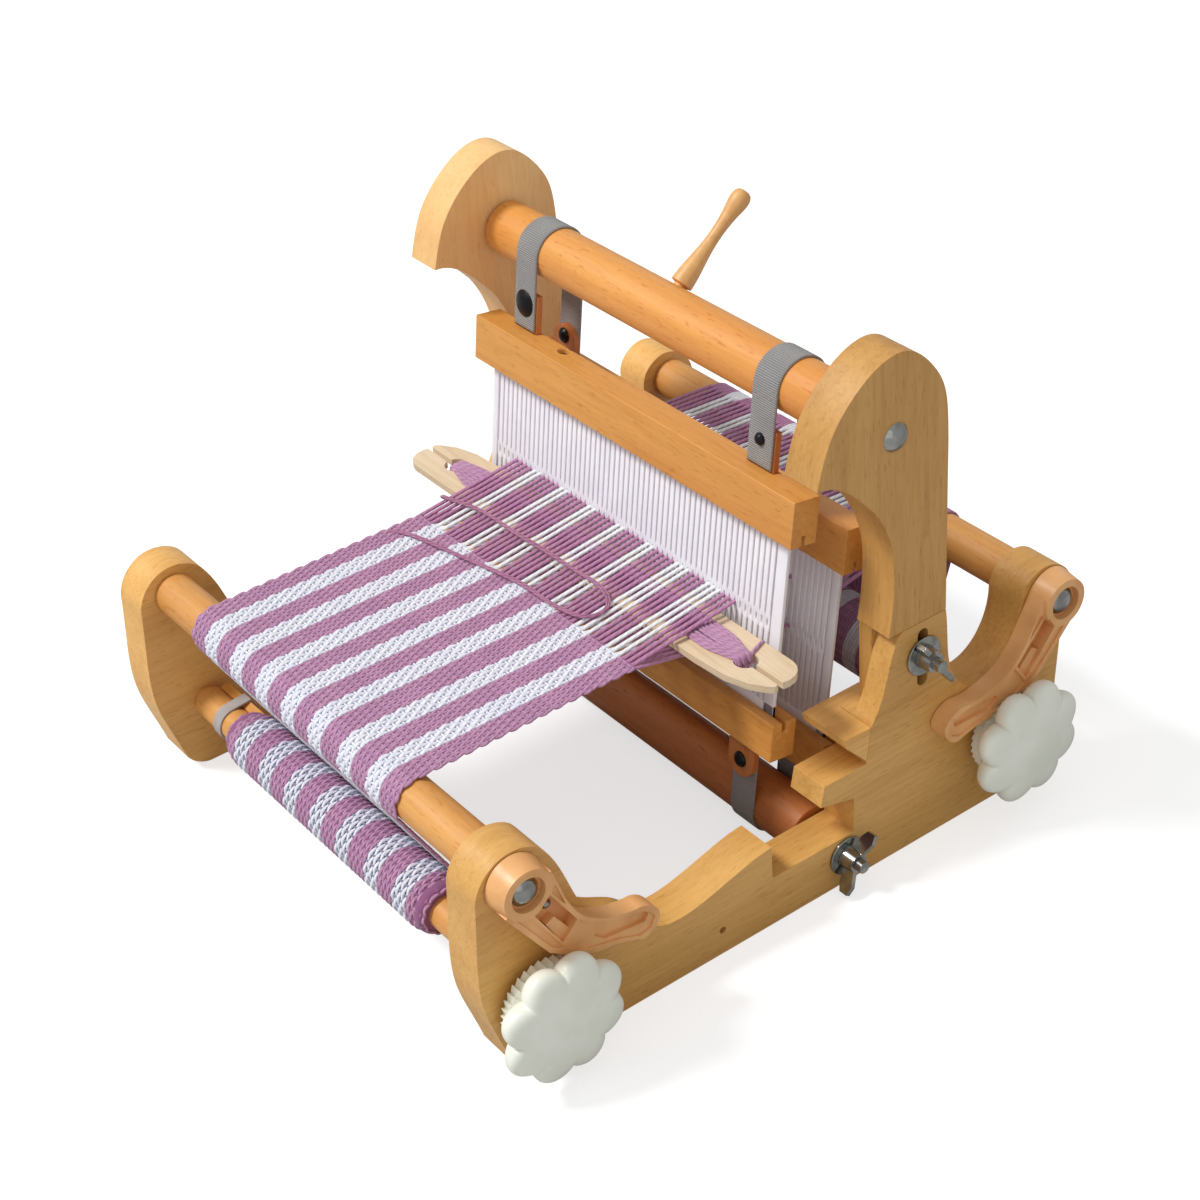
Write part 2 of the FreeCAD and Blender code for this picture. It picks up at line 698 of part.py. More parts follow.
def stick_band(side):
    """A grey band that ties the stick to the beam beside the cloth."""
    low, high = span(side, band_x, band_x + band_width)
    return around_both(low, high, band_thickness).cut(around_both(low - 1, high + 1, 0))


def ratchet_disc(y, z, lean_way):
    """A saw-tooth disc. The teeth's steep sides face the way the pawl pushes back."""
    points = []
    tooth = 2 * math.pi / ratchet_teeth
    for i in range(ratchet_teeth):
        base = i * tooth * lean_way
        points.append((base, ratchet_radius))
        points.append((base + 0.9 * tooth * lean_way, ratchet_radius - ratchet_tooth))
    x = rail_out + ratchet_gap
    corners = [Vector(x, y + r * math.cos(a), z + r * math.sin(a)) for a, r in points]
    disc = Part.Face(Part.makePolygon(corners + [corners[0]])).extrude(Vector(ratchet_thickness, 0, 0))
    return disc


def rounded_puck(x, y, z, radius):
    """A thick disc along X whose whole rim is a half round."""
    half = knob_thickness / 2
    flat = radius - half
    edges = [Part.LineSegment(Vector(0, 0, 0), Vector(0, flat, 0)).toShape(),
             Part.Arc(Vector(0, flat, 0), Vector(half, radius, 0), Vector(knob_thickness, flat, 0)).toShape(),
             Part.LineSegment(Vector(knob_thickness, flat, 0), Vector(knob_thickness, 0, 0)).toShape(),
             Part.LineSegment(Vector(knob_thickness, 0, 0), Vector(0, 0, 0)).toShape()]
    puck = Part.Face(Part.Wire(edges)).revolve(Vector(0, 0, 0), Vector(1, 0, 0), 360)
    puck.translate(Vector(x, y, z))
    return puck


def knob(y, z, lean_way):
    """A flower-shaped knob: toothed disc, neck and a cushion of round lobes about a hub."""
    disc = ratchet_disc(y, z, lean_way)
    neck_from = rail_out + ratchet_gap + ratchet_thickness
    neck = rod(neck_from - 0.5, neck_from + knob_neck + 2, y, z, knob_neck_radius)
    start = neck_from + knob_neck
    lobe_circle = knob_reach - knob_lobe_radius
    pads = [rounded_puck(start, y, z, lobe_circle + 1)]
    for i in range(knob_lobes):
        angle = (i + 0.5) * 2 * math.pi / knob_lobes
        pads.append(rounded_puck(start, y + lobe_circle * math.cos(angle),
                                 z + lobe_circle * math.sin(angle), knob_lobe_radius))
    flower = fuse(pads)
    bore = rod(rail_out, neck_from + knob_neck, y, z, stub_radius)
    return fuse([disc, neck, flower]).cut(bore)


pieces["cloth_beam"] = winder(cloth_y, cloth_z)
pieces["warp_beam"] = winder(warp_y, warp_z)
pieces["cloth_stick"] = tie_stick()
pieces["cloth_bands"] = group([stick_band(-1), stick_band(1)])
pieces["cloth_knob"] = knob(cloth_y, cloth_z, 1)
pieces["warp_knob"] = knob(warp_y, warp_z, -1)


# Pawls: a boss on the beam's bolt, a bowed arm with a nose in the ratchet, and a thumb end

pawl_boss_radius = 13.2
pawl_boss_taper = 1.6
pawl_arm_thickness = 9.0
pawl_rim_height = 1.0
pawl_nose_gap = 0.35
pocket_depth = 6.0
tongue_below_face = 1.8
recess_depth = 3.0
pawl_screw_radius = 2.4
pawl_screw_height = 1.6
front_drawn_heading = math.radians(-84.6)


def pawl(pivot_y, wheel_y, wheel_z, way, dip, nose_angle):
    """A pawl and its small screw. way is +1 where the arm runs back along +Y, -1 where it runs forward.
    dip turns the thumb end down, nose_angle is where the nose meets the wheel's rim."""
    x_from = rail_out + pawl_gap
    face_x = x_from + pawl_arm_thickness
    heading = math.atan2(wheel_z - beam_z, way * (wheel_y - pivot_y))
    turn = heading - front_drawn_heading - math.radians(dip)

    def at(out, up):
        """A point of the pawl as drawn with its wheel nearly below the bolt, turned to the real wheel."""
        y = out * math.cos(turn) - up * math.sin(turn)
        z = out * math.sin(turn) + up * math.cos(turn)
        return (pivot_y + way * y, beam_z + z)

    reach = ratchet_radius + pawl_nose_gap
    nose_turn = math.radians(nose_angle)
    nose = (wheel_y + way * reach * math.cos(nose_turn), wheel_z + reach * math.sin(nose_turn))
    outline = [at(12.5, 4),
               [at(15.8, -6.1), at(20.1, -17.9), at(26.2, -27.3), at(39, -35.5), at(51.6, -38.5)],
               [at(59.5, -41.5), at(63, -47.5), at(59.5, -54), at(52.9, -55.8)],
               [at(42.5, -51.4), at(32, -49.5)], at(25, -47), nose, at(15.5, -41.5),
               at(8.1, -36), at(-10.5, -8)]
    arm = slab(outline, x_from, face_x)
    sunk = [at(14, -4), at(18.2, -17.5), at(25, -29.6), at(38.5, -37.8), at(51.5, -40.7), at(58, -43.5),
            at(60.6, -47.5), at(58, -52.2), at(53, -53.6), at(42.5, -49.2), at(26, -45), at(9.5, -34),
            at(-7, -9)]
    arm = arm.cut(slab(sunk, face_x - pawl_rim_height, face_x + 1))
    boss = Part.makeCone(pawl_boss_radius, pawl_boss_radius - pawl_boss_taper, pawl_boss_thickness,
                         Vector(x_from, pivot_y, beam_z), Vector(1, 0, 0))
    frame = slab([at(9.6, -3.4), at(24.8, -26.8), at(15.2, -36.6), at(0.2, -12.5)], x_from + 1, face_x)
    pocket = slab([at(9.6, -5.4), at(22.6, -26.8), at(15, -34.7), at(2.2, -12.5)],
                  face_x - pocket_depth, face_x + pawl_boss_thickness)
    tongue = slab([at(8.6, -22.8), at(12.8, -20.8), at(19.5, -30.6), at(15, -34.9)],
                  face_x - pocket_depth - 0.5, face_x - tongue_below_face)
    recess = slab([at(30.4, -41), at(32.7, -39.2), at(55.8, -42.2), at(57.8, -45), at(56.1, -48.4),
                   at(35.6, -45.7)], face_x - recess_depth, face_x + 1)
    body = fuse([arm, boss, frame]).cut([pocket, recess])
    body = fuse([body, tongue])
    sink = rod(x_from + pawl_boss_thickness - pawl_sink, x_from + pawl_boss_thickness + 9, pivot_y, beam_z,
               dome_radius + 1.4)
    bore = rod(x_from - 1, x_from + 20, pivot_y, beam_z, bolt_radius + running_gap)
    wheel = rod(x_from - 1, x_from + 20, wheel_y, wheel_z, reach - 0.05)
    screw_y, screw_z = at(12.2, -16.4)
    floor_x = face_x - pocket_depth
    shank = rod(floor_x - 2, floor_x, screw_y, screw_z, screw_radius)
    screw = fuse([shank, dome(floor_x, screw_y, screw_z, 1, pawl_screw_radius, pawl_screw_height)])
    thread = rod(floor_x - 2.2, floor_x + 1, screw_y, screw_z, screw_radius + bolt_hole_gap)
    return body.cut([sink, bore, wheel, thread]), screw


pieces["front_pawl"], pieces["front_pawl_screw"] = pawl(breast_y, cloth_y, cloth_z, 1, 0, 54.6)
pieces["rear_pawl"], pieces["rear_pawl_screw"] = pawl(back_y, warp_y, warp_z, -1, 10, 75)


# Cloth, warp and their rolls

cloth_x = (warp_centre_x - warp_width / 2, warp_centre_x + warp_width / 2)


def tangent_down(y_a, z_a, r_a, y_b, z_b, r_b, way):
    """Touch points of the straight run from one round to the next, on the side given by way."""
    dy, dz = y_b - y_a, z_b - z_a
    distance = math.hypot(dy, dz)
    heading = math.atan2(dz, dy)
    swing = math.acos((r_a - r_b) / distance)
    angle = heading + way * swing
    return ((y_a + r_a * math.cos(angle), z_a + r_a * math.sin(angle)),
            (y_b + r_b * math.cos(angle), z_b + r_b * math.sin(angle)), angle)


def band(path_in, path_out):
    """A thin sheet across the loom between an inner and an outer line in the side view."""
    return slab(path_in + path_out[::-1], *cloth_x)


def around(y, z, r, a_from, a_to):
    """Three points of an arc, the middle one and the end, for a spline over a quarter turn or so."""
    return [(y + r * math.cos(a_from + (a_to - a_from) * t), z + r * math.sin(a_from + (a_to - a_from) * t))
            for t in (0.2, 0.4, 0.6, 0.8, 1.0)]


def wrapped_sheet(y, z, radius, thickness, far, drum_y, drum_z, drum_radii, way):
    """A sheet that lies on the level, bends over one beam and runs down to a roll.
    drum_radii are the roll's distances to the sheet's lower and upper face, negative where the sheet
    crosses over to the roll's other side."""
    faces = []
    top = math.pi / 2
    for r, drum_r in zip((radius, radius + thickness), drum_radii):
        start, end, angle = tangent_down(y, z, r, drum_y, drum_z, drum_r, way)
        faces.append((start, end, angle, r))
    (_, e0, a0, r0), (s1, e1, a1, r1) = faces
    if way < 0:
        a0 = a0 % (2 * math.pi)
        a1 = a1 % (2 * math.pi)
    outline = [(far, z + r0), (y, z + r0), around(y, z, r0, top, a0), e0, e1, s1]
    outline.append(around(y, z, r1, a1, top))
    outline.append((far, z + r1))
    return slab(outline, *cloth_x)


beam_top = beam_z + beam_radius + soft_gap
cloth_roll_face = cloth_roll_radius + soft_gap
warp_roll_face = warp_roll_radius + soft_gap
crossed = (-cloth_roll_face - cloth_thickness, -cloth_roll_face)
pieces["woven_cloth"] = wrapped_sheet(breast_y, beam_z, beam_radius + soft_gap, cloth_thickness, fell_y,
                                      cloth_y, cloth_z, crossed, -1)
pieces["warp_rear"] = wrapped_sheet(back_y, beam_z, beam_radius + soft_gap, warp_thickness, back_y - 2,
                                    warp_y, warp_z, (warp_roll_face, warp_roll_face + warp_thickness), 1)


def roll(y, z, radius):
    core = winder_radius
    return rod(*cloth_x, y, z, radius).cut(rod(cloth_x[0] - 1, cloth_x[1] + 1, y, z, core))


pieces["cloth_roll"] = roll(cloth_y, cloth_z, cloth_roll_radius).cut(pieces["cloth_stick"])
pieces["warp_roll"] = roll(warp_y, warp_z, warp_roll_radius)


def warp_layer(facing, top):
    """Threads of one frame: from the cloth's edge to that frame's eyes and on to the back beam."""
    eye_along = top - top_bar_height - frame_window / 2 + eye_rise
    half = sheet_thickness / 2 + soft_gap
    level = beam_top + (layer_step if facing < 0 else 0)
    start = (fell_y + soft_gap, level)
    end = (back_y - 2 - soft_gap, level)
    eye = lean_point(facing * bar_centre, eye_along)
    stops = []
    for other in (-1, 1):
        sheet_y, sheet_z = lean_point(other * bar_centre, 0)
        tilt = math.tan(math.radians(lean))
        near, far = (start, eye) if other <= facing else (eye, end)
        slope = (far[1] - near[1]) / (far[0] - near[0])
        stop_z = (near[1] + slope * (sheet_y - sheet_z * tilt - near[0])) / (1 - slope * tilt)
        stops.append((sheet_y + (stop_z - sheet_z) * tilt, stop_z))
    cut = half / math.cos(math.radians(lean)) + 0.1
    runs = [(start, stops[0]), (stops[0], stops[1]), (stops[1], end)]
    solids = []
    for i, (a, b) in enumerate(runs):
        slope = (b[1] - a[1]) / (b[0] - a[0])
        y_from = a[0] + (cut if i > 0 else 0)
        y_to = b[0] - (cut if i < 2 else 0)
        low = [(y_from, a[1] + slope * (y_from - a[0])), (y_to, a[1] + slope * (y_to - a[0]))]
        high = [(y, z + layer_thickness) for y, z in low]
        solids.append(band(low, high))
    return group(solids)


pieces["warp_upper"] = warp_layer(-1, front_top)
pieces["warp_lower"] = warp_layer(1, rear_top)


# Shuttle: a flat stick with forked ends that lies in the open shed, wound with yarn

rear_eye = lean_point(bar_centre, rear_top - top_bar_height - frame_window / 2 + eye_rise)
lower_slope = (rear_eye[1] - beam_top) / (rear_eye[0] - fell_y)
shuttle_front_y = shuttle_y - shuttle_width / 2
shuttle_z = beam_top + lower_slope * (shuttle_front_y - fell_y) + layer_thickness + soft_gap + winding_height
keyhole_x = shuttle_length / 2 - keyhole_inset


def placed_shuttle(shape):
    shape.translate(Vector(shuttle_x, shuttle_y, shuttle_z))
    return shape


def shuttle():
    """A flat stick, tapered at both ends, with a slit at each end that opens into a round hole."""
    half = shuttle_length / 2
    wide = shuttle_width / 2
    blunt = [(half, wide - 10), (half - 0.8, wide - 6.2), (half - 2.6, wide - 3.2), (half - 5.4, wide - 1.1),
             (half - 9, wide)]
    tapered = [(half - 40, wide), (half - 22, wide - 1.2), (half - 10, wide - 4.5), (half - 2.5, wide - 9.2),
               (half - 0.3, wide - 11.4), (half - 0.8, wide - 13.1)]
    corners = ((1, 1, blunt), (-1, 1, tapered), (-1, -1, blunt), (1, -1, tapered))
    points = [Vector(way_x * x, way_y * y, 0) for way_x, way_y, corner in corners for x, y in corner]
    face = Part.Face(Part.makePolygon(points + [points[0]]))
    body = face.extrude(Vector(0, 0, shuttle_thickness))
    cuts = []
    for way in (-1, 1):
        cuts.append(box(*span(way, keyhole_x, half + 1), -slit_width / 2, slit_width / 2,
                        -1, shuttle_thickness + 1))
        cuts.append(Part.makeCylinder(keyhole_radius, shuttle_thickness + 2,
                                      Vector(way * keyhole_x, 0, -1)))
    return placed_shuttle(body.cut(cuts))


def shuttle_yarn():
    """The winding from keyhole to keyhole, over and under the stick and through both holes."""
    reach = keyhole_x + 1.0
    narrow = keyhole_radius - 0.8
    wide = winding_width / 2
    taper = keyhole_x - 16
    outline = [(-reach, -narrow), (-taper, -wide), (taper, -wide), (reach, -narrow),
               (reach, narrow), (taper, wide), (-taper, wide), (-reach, narrow)]
    points = [Vector(x, y, -winding_height) for x, y in outline]
    face = Part.Face(Part.makePolygon(points + [points[0]]))
    block = face.extrude(Vector(0, 0, shuttle_thickness + 2 * winding_height))
    ends = [Part.makeCylinder(keyhole_radius, shuttle_thickness, Vector(way * keyhole_x, 0, 0))
            for way in (-1, 1)]
    plugs = [end.common(block) for end in ends]
    layers = block.cut(box(-reach - 1, reach + 1, -wide - 1, wide + 1, 0, shuttle_thickness))
    return placed_shuttle(fuse([layers] + plugs))


pieces["shuttle"] = shuttle()
pieces["shuttle_yarn"] = shuttle_yarn()


# Weft tail: the doubled end of the weft, from under the shuttle over the warp to the cloth's edge

upper_eye = lean_point(-bar_centre, front_top - top_bar_height - frame_window / 2 + eye_rise)
upper_slope = (upper_eye[1] - beam_top) / (upper_eye[0] - fell_y)
tail_route = [(-92.0, -51.9, -10.8), (-93.4, -58.2, -9.4), (-93.0, -63.6, -4.9), (-88.8, -66.6, 0.3),
              (-82.0, -66.2, 0.9), (-73.0, -63.0, 0.7), (-58.0, -60.3, 0.2), (-38.0, -60.6, 0.1),
              (-15.0, -59.0, 0.1), (5.0, -59.0, 0.1), (22.0, -57.8, 0.1), (33.0, -59.8, 0.1),
              (39.5, -65.0, 0.1), (40.3, -71.5, 0.2),
              (36.5, -77.0, 0.6), (28.5, -79.8, 1.0), (15.0, -81.2, 1.0), (0.0, -80.6, 0.8),
              (-19.0, -83.2, 0.4), (-40.0, -87.8, 0), (-58.0, -91.2, 0), (-70.0, -94.0, 0),
              (-78.0, -96.5, -0.1), (-84.5, -98.8, -1.9)]


def lying_height(y):
    """Height of a cord's middle where it lies on the cloth or on the raised warp."""
    slope_rise = max(0, y - fell_y) * upper_slope
    return beam_top + cloth_thickness + slope_rise + tail_radius + soft_gap


def route_tube(route, radius):
    """A tube along straight runs joined by tangent arcs, with the arcs' radii and length printed."""
    points = [Vector(*p) for p in route]
    edges = []
    radii = []
    here = points[0]
    for before, corner, after in zip(points, points[1:], points[2:]):
        into = (corner - before)
        out = (after - corner)
        turn = into.getAngle(out)
        trim = 0.45 * min(into.Length, out.Length)
        into.normalize()
        out.normalize()
        start = corner - into * trim
        end = corner + out * trim
        bend = trim / math.tan(turn / 2)
        radii.append(round(bend, 1))
        inward = (out - into).normalize()
        middle = corner + inward * (bend / math.cos(turn / 2) - bend)
        edges.append(Part.LineSegment(here, start).toShape())
        edges.append(Part.Arc(start, middle, end).toShape())
        here = end
    edges.append(Part.LineSegment(here, points[-1]).toShape())
    path = Part.Wire(edges)
    first = points[1] - points[0]
    ring = Part.Wire(Part.Circle(points[0], first, radius).toShape())
    tube = path.makePipeShell([ring], True, False)
    print("tail length", round(path.Length, 1), "least radius", min(radii), "volume share",
          round(tube.Volume / (math.pi * radius ** 2 * path.Length), 4))
    return tube


tail_points = [(x, y, lying_height(y) + rise) for x, y, rise in tail_route]
pieces["weft_tail"] = route_tube(tail_points, tail_radius)


# Placing: the origin goes to the bottom centre of the whole loom's box

whole = Part.makeCompound(list(pieces.values())).BoundBox
box_centre = Vector((whole.XMin + whole.XMax) / 2, (whole.YMin + whole.YMax) / 2, 0)
print("box", whole, "centre", box_centre)
for name, shape in pieces.items():
    placed = shape.copy()
    placed.translate(-box_centre)
    if not placed.isValid():
        print("not valid", name)
    placed.exportStep("parts/" + name + ".step")
print(len(pieces), "nodes")
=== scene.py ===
# %% [markdown]
# A small table loom with two heddle frames, dressed over its CAD solids.
# The CAD parts give every place and size. This lesson gives them their surfaces: beech with a grain,
# webbing, moulded plastic, chrome, and real yarn for the warp, the cloth and the shuttle.

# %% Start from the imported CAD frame
import json
import math
import bmesh
import bpy
import numpy as np
from mathutils import Matrix, Vector


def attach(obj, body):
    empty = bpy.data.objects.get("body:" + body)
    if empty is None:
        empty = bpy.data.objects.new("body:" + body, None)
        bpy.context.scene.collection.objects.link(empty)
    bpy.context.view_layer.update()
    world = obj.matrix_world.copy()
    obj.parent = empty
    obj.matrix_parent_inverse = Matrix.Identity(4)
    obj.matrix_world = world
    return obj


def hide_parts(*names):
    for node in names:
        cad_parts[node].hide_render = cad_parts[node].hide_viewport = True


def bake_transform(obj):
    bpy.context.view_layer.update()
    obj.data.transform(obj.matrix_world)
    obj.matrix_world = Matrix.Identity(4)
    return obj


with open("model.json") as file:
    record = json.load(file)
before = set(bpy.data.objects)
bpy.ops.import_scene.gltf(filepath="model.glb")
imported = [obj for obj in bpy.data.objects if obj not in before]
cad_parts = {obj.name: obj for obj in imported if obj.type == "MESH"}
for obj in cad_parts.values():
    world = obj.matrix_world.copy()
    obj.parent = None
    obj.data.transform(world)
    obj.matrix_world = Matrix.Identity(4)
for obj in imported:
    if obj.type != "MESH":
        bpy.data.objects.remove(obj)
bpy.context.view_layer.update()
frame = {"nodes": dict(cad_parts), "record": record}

# %% [markdown]
# The drawing of the loom counts millimetres, with x from the middle between the sides and y from a datum
# just in front of the top roller. The record's frame has its origin under the middle of the whole loom.
# One helper turns drawing points into scene points, so every number below is a size one could measure.

# %% Places and sizes of the drawing
MM = 0.001
BOX_CENTRE = (6.4, -50.798)
body_of_node = {n: b for b, names in frame["record"]["behaviour"]["bodies"].items() for n in names}
slot_of_node = {s["node"]: s["material_slot"] for s in frame["record"]["subparts"]}


def at(x, y, z):
    return Vector(((x - BOX_CENTRE[0]) * MM, (y - BOX_CENTRE[1]) * MM, z * MM))


def about(x, y, z, radius, angle):
    """The drawing point at a radius and an angle round an axle that runs along X through y and z."""
    return (x, y + radius * math.cos(angle), z + radius * math.sin(angle))


breast_y, back_y, beam_z = -194.0, 99.0, 99.5
cloth_y, cloth_z, warp_y, warp_z = -188.0, 36.0, 71.0, 41.0
roller_y, roller_z, lower_roller_y, lower_roller_z = 7.5, 217.0, -21.5, 15.5
lean = math.atan2(roller_y - lower_roller_y, roller_z - lower_roller_z)
roller_distance = math.hypot(roller_y - lower_roller_y, roller_z - lower_roller_z)
roller_radius = 13.0
frame_drop, frame_travel, frame_window = 36.8, 21.5, 86.5
top_bar_height, lower_bar_height, bar_centre = 22.0, 19.2, 16.0
sheet_half = 107.4
fell_y = -81.5
warp_centre_x, warp_width = -4.0, 166.0


def lean_point(across, along):
    """Y and Z of a point given square to and along the frames' slide, from the top roller's axis."""
    return (roller_y + across * math.cos(lean) + along * math.sin(lean),
            roller_z - across * math.sin(lean) + along * math.cos(lean))


# %% [markdown]
# Colours are read off as screen values, so one helper turns them into the linear values that shaders use.
# A second helper feeds a node's inputs with links or values, and a third adds a shader or geometry node
# with its inputs in one call, which keeps each tree short. The last sets new data in the scene as an
# object at the origin.

# %% Helpers for colours, node trees and objects
def screen(red, green, blue):
    channel = [v / 255 for v in (red, green, blue)]
    return [v / 12.92 if v < 0.04045 else ((v + 0.055) / 1.055) ** 2.4 for v in channel] + [1.0]


def feed(tree, taker, inputs):
    for key, value in dict(inputs).items():
        if isinstance(value, bpy.types.NodeSocket):
            tree.links.new(value, taker.inputs[key])
        else:
            taker.inputs[key].default_value = value


def node(tree, kind, inputs=(), **settings):
    made = tree.nodes.new(kind)
    for key, value in settings.items():
        setattr(made, key, value)
    feed(tree, made, inputs)
    return made


def maths(tree, operation, a, b=0.0, c=0.0):
    return node(tree, "ShaderNodeMath", {0: a, 1: b, 2: c}, operation=operation).outputs[0]


def blend_colours(tree, share, first, second, way="MIX"):
    made = node(tree, "ShaderNodeMix", {0: share, 6: first, 7: second}, data_type="RGBA", blend_type=way)
    return made.outputs[2]


def spread(tree, value, low, high, to_low=0.0, to_high=1.0):
    return node(tree, "ShaderNodeMapRange", {0: value, 1: low, 2: high, 3: to_low, 4: to_high}).outputs[0]


def put(name, data):
    made = bpy.data.objects.new(name, data)
    bpy.context.scene.collection.objects.link(made)
    return made


# %% [markdown]
# Beech is even and warm, with broad pale bands, fine darker lines along the board and the short dark flecks
# that beech is known by. One group makes all three from a position whose X runs along the fibre.
# Each material turns and stretches the position to suit its own board, so the grain follows every piece.

# %% The beech grain group
def new_group(name, ins, outs):
    group = bpy.data.node_groups.new(name, "ShaderNodeTree")
    for label, kind in ins:
        group.interface.new_socket(label, in_out="INPUT", socket_type=kind)
    for label, kind in outs:
        group.interface.new_socket(label, in_out="OUTPUT", socket_type=kind)
    return group, group.nodes.new("NodeGroupInput"), group.nodes.new("NodeGroupOutput")


grain, given, result = new_group(
    "Beech grain",
    [("Place", "NodeSocketVector"), ("Light", "NodeSocketColor"), ("Dark", "NodeSocketColor"),
     ("Lines", "NodeSocketFloat"), ("Flecks", "NodeSocketFloat")],
    [("Color", "NodeSocketColor"), ("Roughness", "NodeSocketFloat"), ("Height", "NodeSocketFloat")])
along_fibre = node(grain, "ShaderNodeMapping", {"Vector": given.outputs["Place"], "Scale": (0.07, 1, 1)})
bands = node(grain, "ShaderNodeTexNoise", {"Vector": along_fibre.outputs[0], "Scale": 38, "Detail": 2})
lines = node(grain, "ShaderNodeTexNoise", {"Vector": along_fibre.outputs[0], "Scale": 420, "Detail": 3,
                                           "Distortion": 0.6})
short_fibre = node(grain, "ShaderNodeMapping", {"Vector": given.outputs["Place"], "Scale": (0.16, 1, 1)})
flecks = node(grain, "ShaderNodeTexNoise", {"Vector": short_fibre.outputs[0], "Scale": 900, "Detail": 1})
band_share = spread(grain, bands.outputs[0], 0.35, 0.68)
line_share = maths(grain, "MULTIPLY", spread(grain, lines.outputs[0], 0.4, 0.72), given.outputs["Lines"])
fleck_share = maths(grain, "MULTIPLY", spread(grain, flecks.outputs[0], 0.62, 0.72), given.outputs["Flecks"])
shade = maths(grain, "ADD", maths(grain, "MULTIPLY", band_share, 0.55), line_share)
shade = node(grain, "ShaderNodeClamp", {0: maths(grain, "ADD", shade, fleck_share)}).outputs[0]
grain_colour = blend_colours(grain, shade, given.outputs["Light"], given.outputs["Dark"])
feed(grain, result, {"Color": grain_colour, "Roughness": spread(grain, shade, 0, 1, 0.42, 0.56),
                     "Height": maths(grain, "SUBTRACT", 1.0, shade)})


def new_material(name, roughness=0.5, **plain):
    material = bpy.data.materials.new(name)
    material.use_nodes = True
    tree = material.node_tree
    shader = tree.nodes["Principled BSDF"]
    feed(tree, shader, {"Roughness": roughness} | {k.replace("_", " "): v for k, v in plain.items()})
    place = node(tree, "ShaderNodeTexCoord").outputs["Object"]
    return material, tree, shader, place


def bump(tree, shader, height, distance, strength=1.0):
    made = node(tree, "ShaderNodeBump", {"Height": height, "Distance": distance, "Strength": strength})
    tree.links.new(made.outputs[0], shader.inputs["Normal"])


def wood(name, light, dark, turn, lines=0.35, flecks=0.45, coat=0.12, shift=(0, 0, 0)):
    material, tree, shader, place = new_material(name, 0.5, Coat_Weight=coat, Coat_Roughness=0.35)
    turned = node(tree, "ShaderNodeMapping", {"Vector": place, "Rotation": turn, "Location": shift})
    made = node(tree, "ShaderNodeGroup", {"Place": turned.outputs[0], "Light": screen(*light),
                                          "Dark": screen(*dark), "Lines": lines, "Flecks": flecks},
                node_tree=grain)
    feed(tree, shader, {"Base Color": made.outputs["Color"], "Roughness": made.outputs["Roughness"]})
    bump(tree, shader, made.outputs["Height"], 0.0001, 0.5)
    return material


ALONG_X, ALONG_Y, ALONG_Z = (0, 0, 0), (0, 0, math.radians(-90)), (0, math.radians(90), 0)
side_light, side_dark = (230, 178, 100), (198, 142, 68)
beech_rail = wood("beech_rail", side_light, side_dark, ALONG_Y)
beech_upright = wood("beech_upright", (214, 162, 88), (184, 130, 62), ALONG_Z, lines=0.42)
# The two lighter copies of the beech below are painted light: the same wood made brighter for the left rails,
# the left upright and both rest blocks.
painted_lit_upright = wood("painted_lit_upright", (254, 208, 140), (240, 182, 112), ALONG_Z, lines=0.42)
painted_lit_rail = wood("painted_lit_rail", (248, 194, 112), (216, 156, 78), ALONG_Y)
beech_beam = wood("beech_beam", (230, 168, 92), (200, 130, 58), ALONG_X)
beech_bar = wood("beech_bar", (230, 164, 80), (198, 126, 50), ALONG_X, shift=(0.3, 0.1, 0.2))
orange_dowel = wood("orange_dowel", (240, 168, 82), (214, 132, 52), ALONG_X, lines=0.3, flecks=0.7, coat=0.3)
# The lower roller takes a dim copy of the orange dowel: painted shade, as it sits deep under the loom.
painted_shade_dowel = wood("painted_shade_dowel", (204, 126, 64), (172, 96, 42), ALONG_X, lines=0.3, flecks=0.7)
turned_handle = wood("turned_handle", (238, 186, 118), (210, 148, 82), ALONG_Z, flecks=0.3)
pale_wood = wood("pale_wood", (236, 216, 184), (214, 186, 148), ALONG_X, lines=0.5, flecks=0.2, coat=0.0)
tab_wood = wood("tab_wood", (206, 128, 66), (164, 92, 42), ALONG_Z)
print("wood finishes made")

# %% [markdown]
# Metal and plastic carry little colour of their own, so their finish is in the roughness. The chrome has
# faint smears, the moulded tan plastic a fine pebble, and the white knobs and combs are smooth and soft.

# %% Chrome, black screws and moulded plastic
def speckled(name, light, dark, scale, roughness, swing, depth, **plain):
    """A base between two near colours in clouds, whose roughness swings about its middle value."""
    material, tree, shader, place = new_material(name, roughness, **plain)
    clouds = node(tree, "ShaderNodeTexNoise", {"Vector": place, "Scale": scale, "Detail": 3})
    share = spread(tree, clouds.outputs[0], 0.35, 0.65)
    rough = spread(tree, clouds.outputs[0], 0.3, 0.7, roughness - swing, roughness + swing)
    base = blend_colours(tree, share, screen(*light), screen(*dark))
    feed(tree, shader, {"Base Color": base, "Roughness": rough})
    fine = node(tree, "ShaderNodeTexNoise", {"Vector": place, "Scale": scale * 14, "Detail": 2})
    bump(tree, shader, fine.outputs[0], depth, 0.6)
    return material


chrome = speckled("chrome", (176, 177, 172), (140, 142, 140), 160, 0.2, 0.08, 0.00002, Metallic=1.0)
black_metal = speckled("black_metal", (34, 32, 32), (18, 17, 18), 200, 0.4, 0.1, 0.00003, Metallic=0.6)
tan_plastic = speckled("tan_plastic", (244, 186, 124), (228, 166, 104), 60, 0.42, 0.06, 0.00004)
knob_white = speckled("knob_white", (250, 252, 240), (240, 244, 230), 50, 0.38, 0.05, 0.00003)
comb_white = speckled("comb_white", (246, 245, 250), (240, 239, 246), 70, 0.4, 0.05, 0.00002)
grey_plastic = speckled("grey_plastic", (186, 180, 176), (170, 164, 160), 90, 0.5, 0.06, 0.00003)
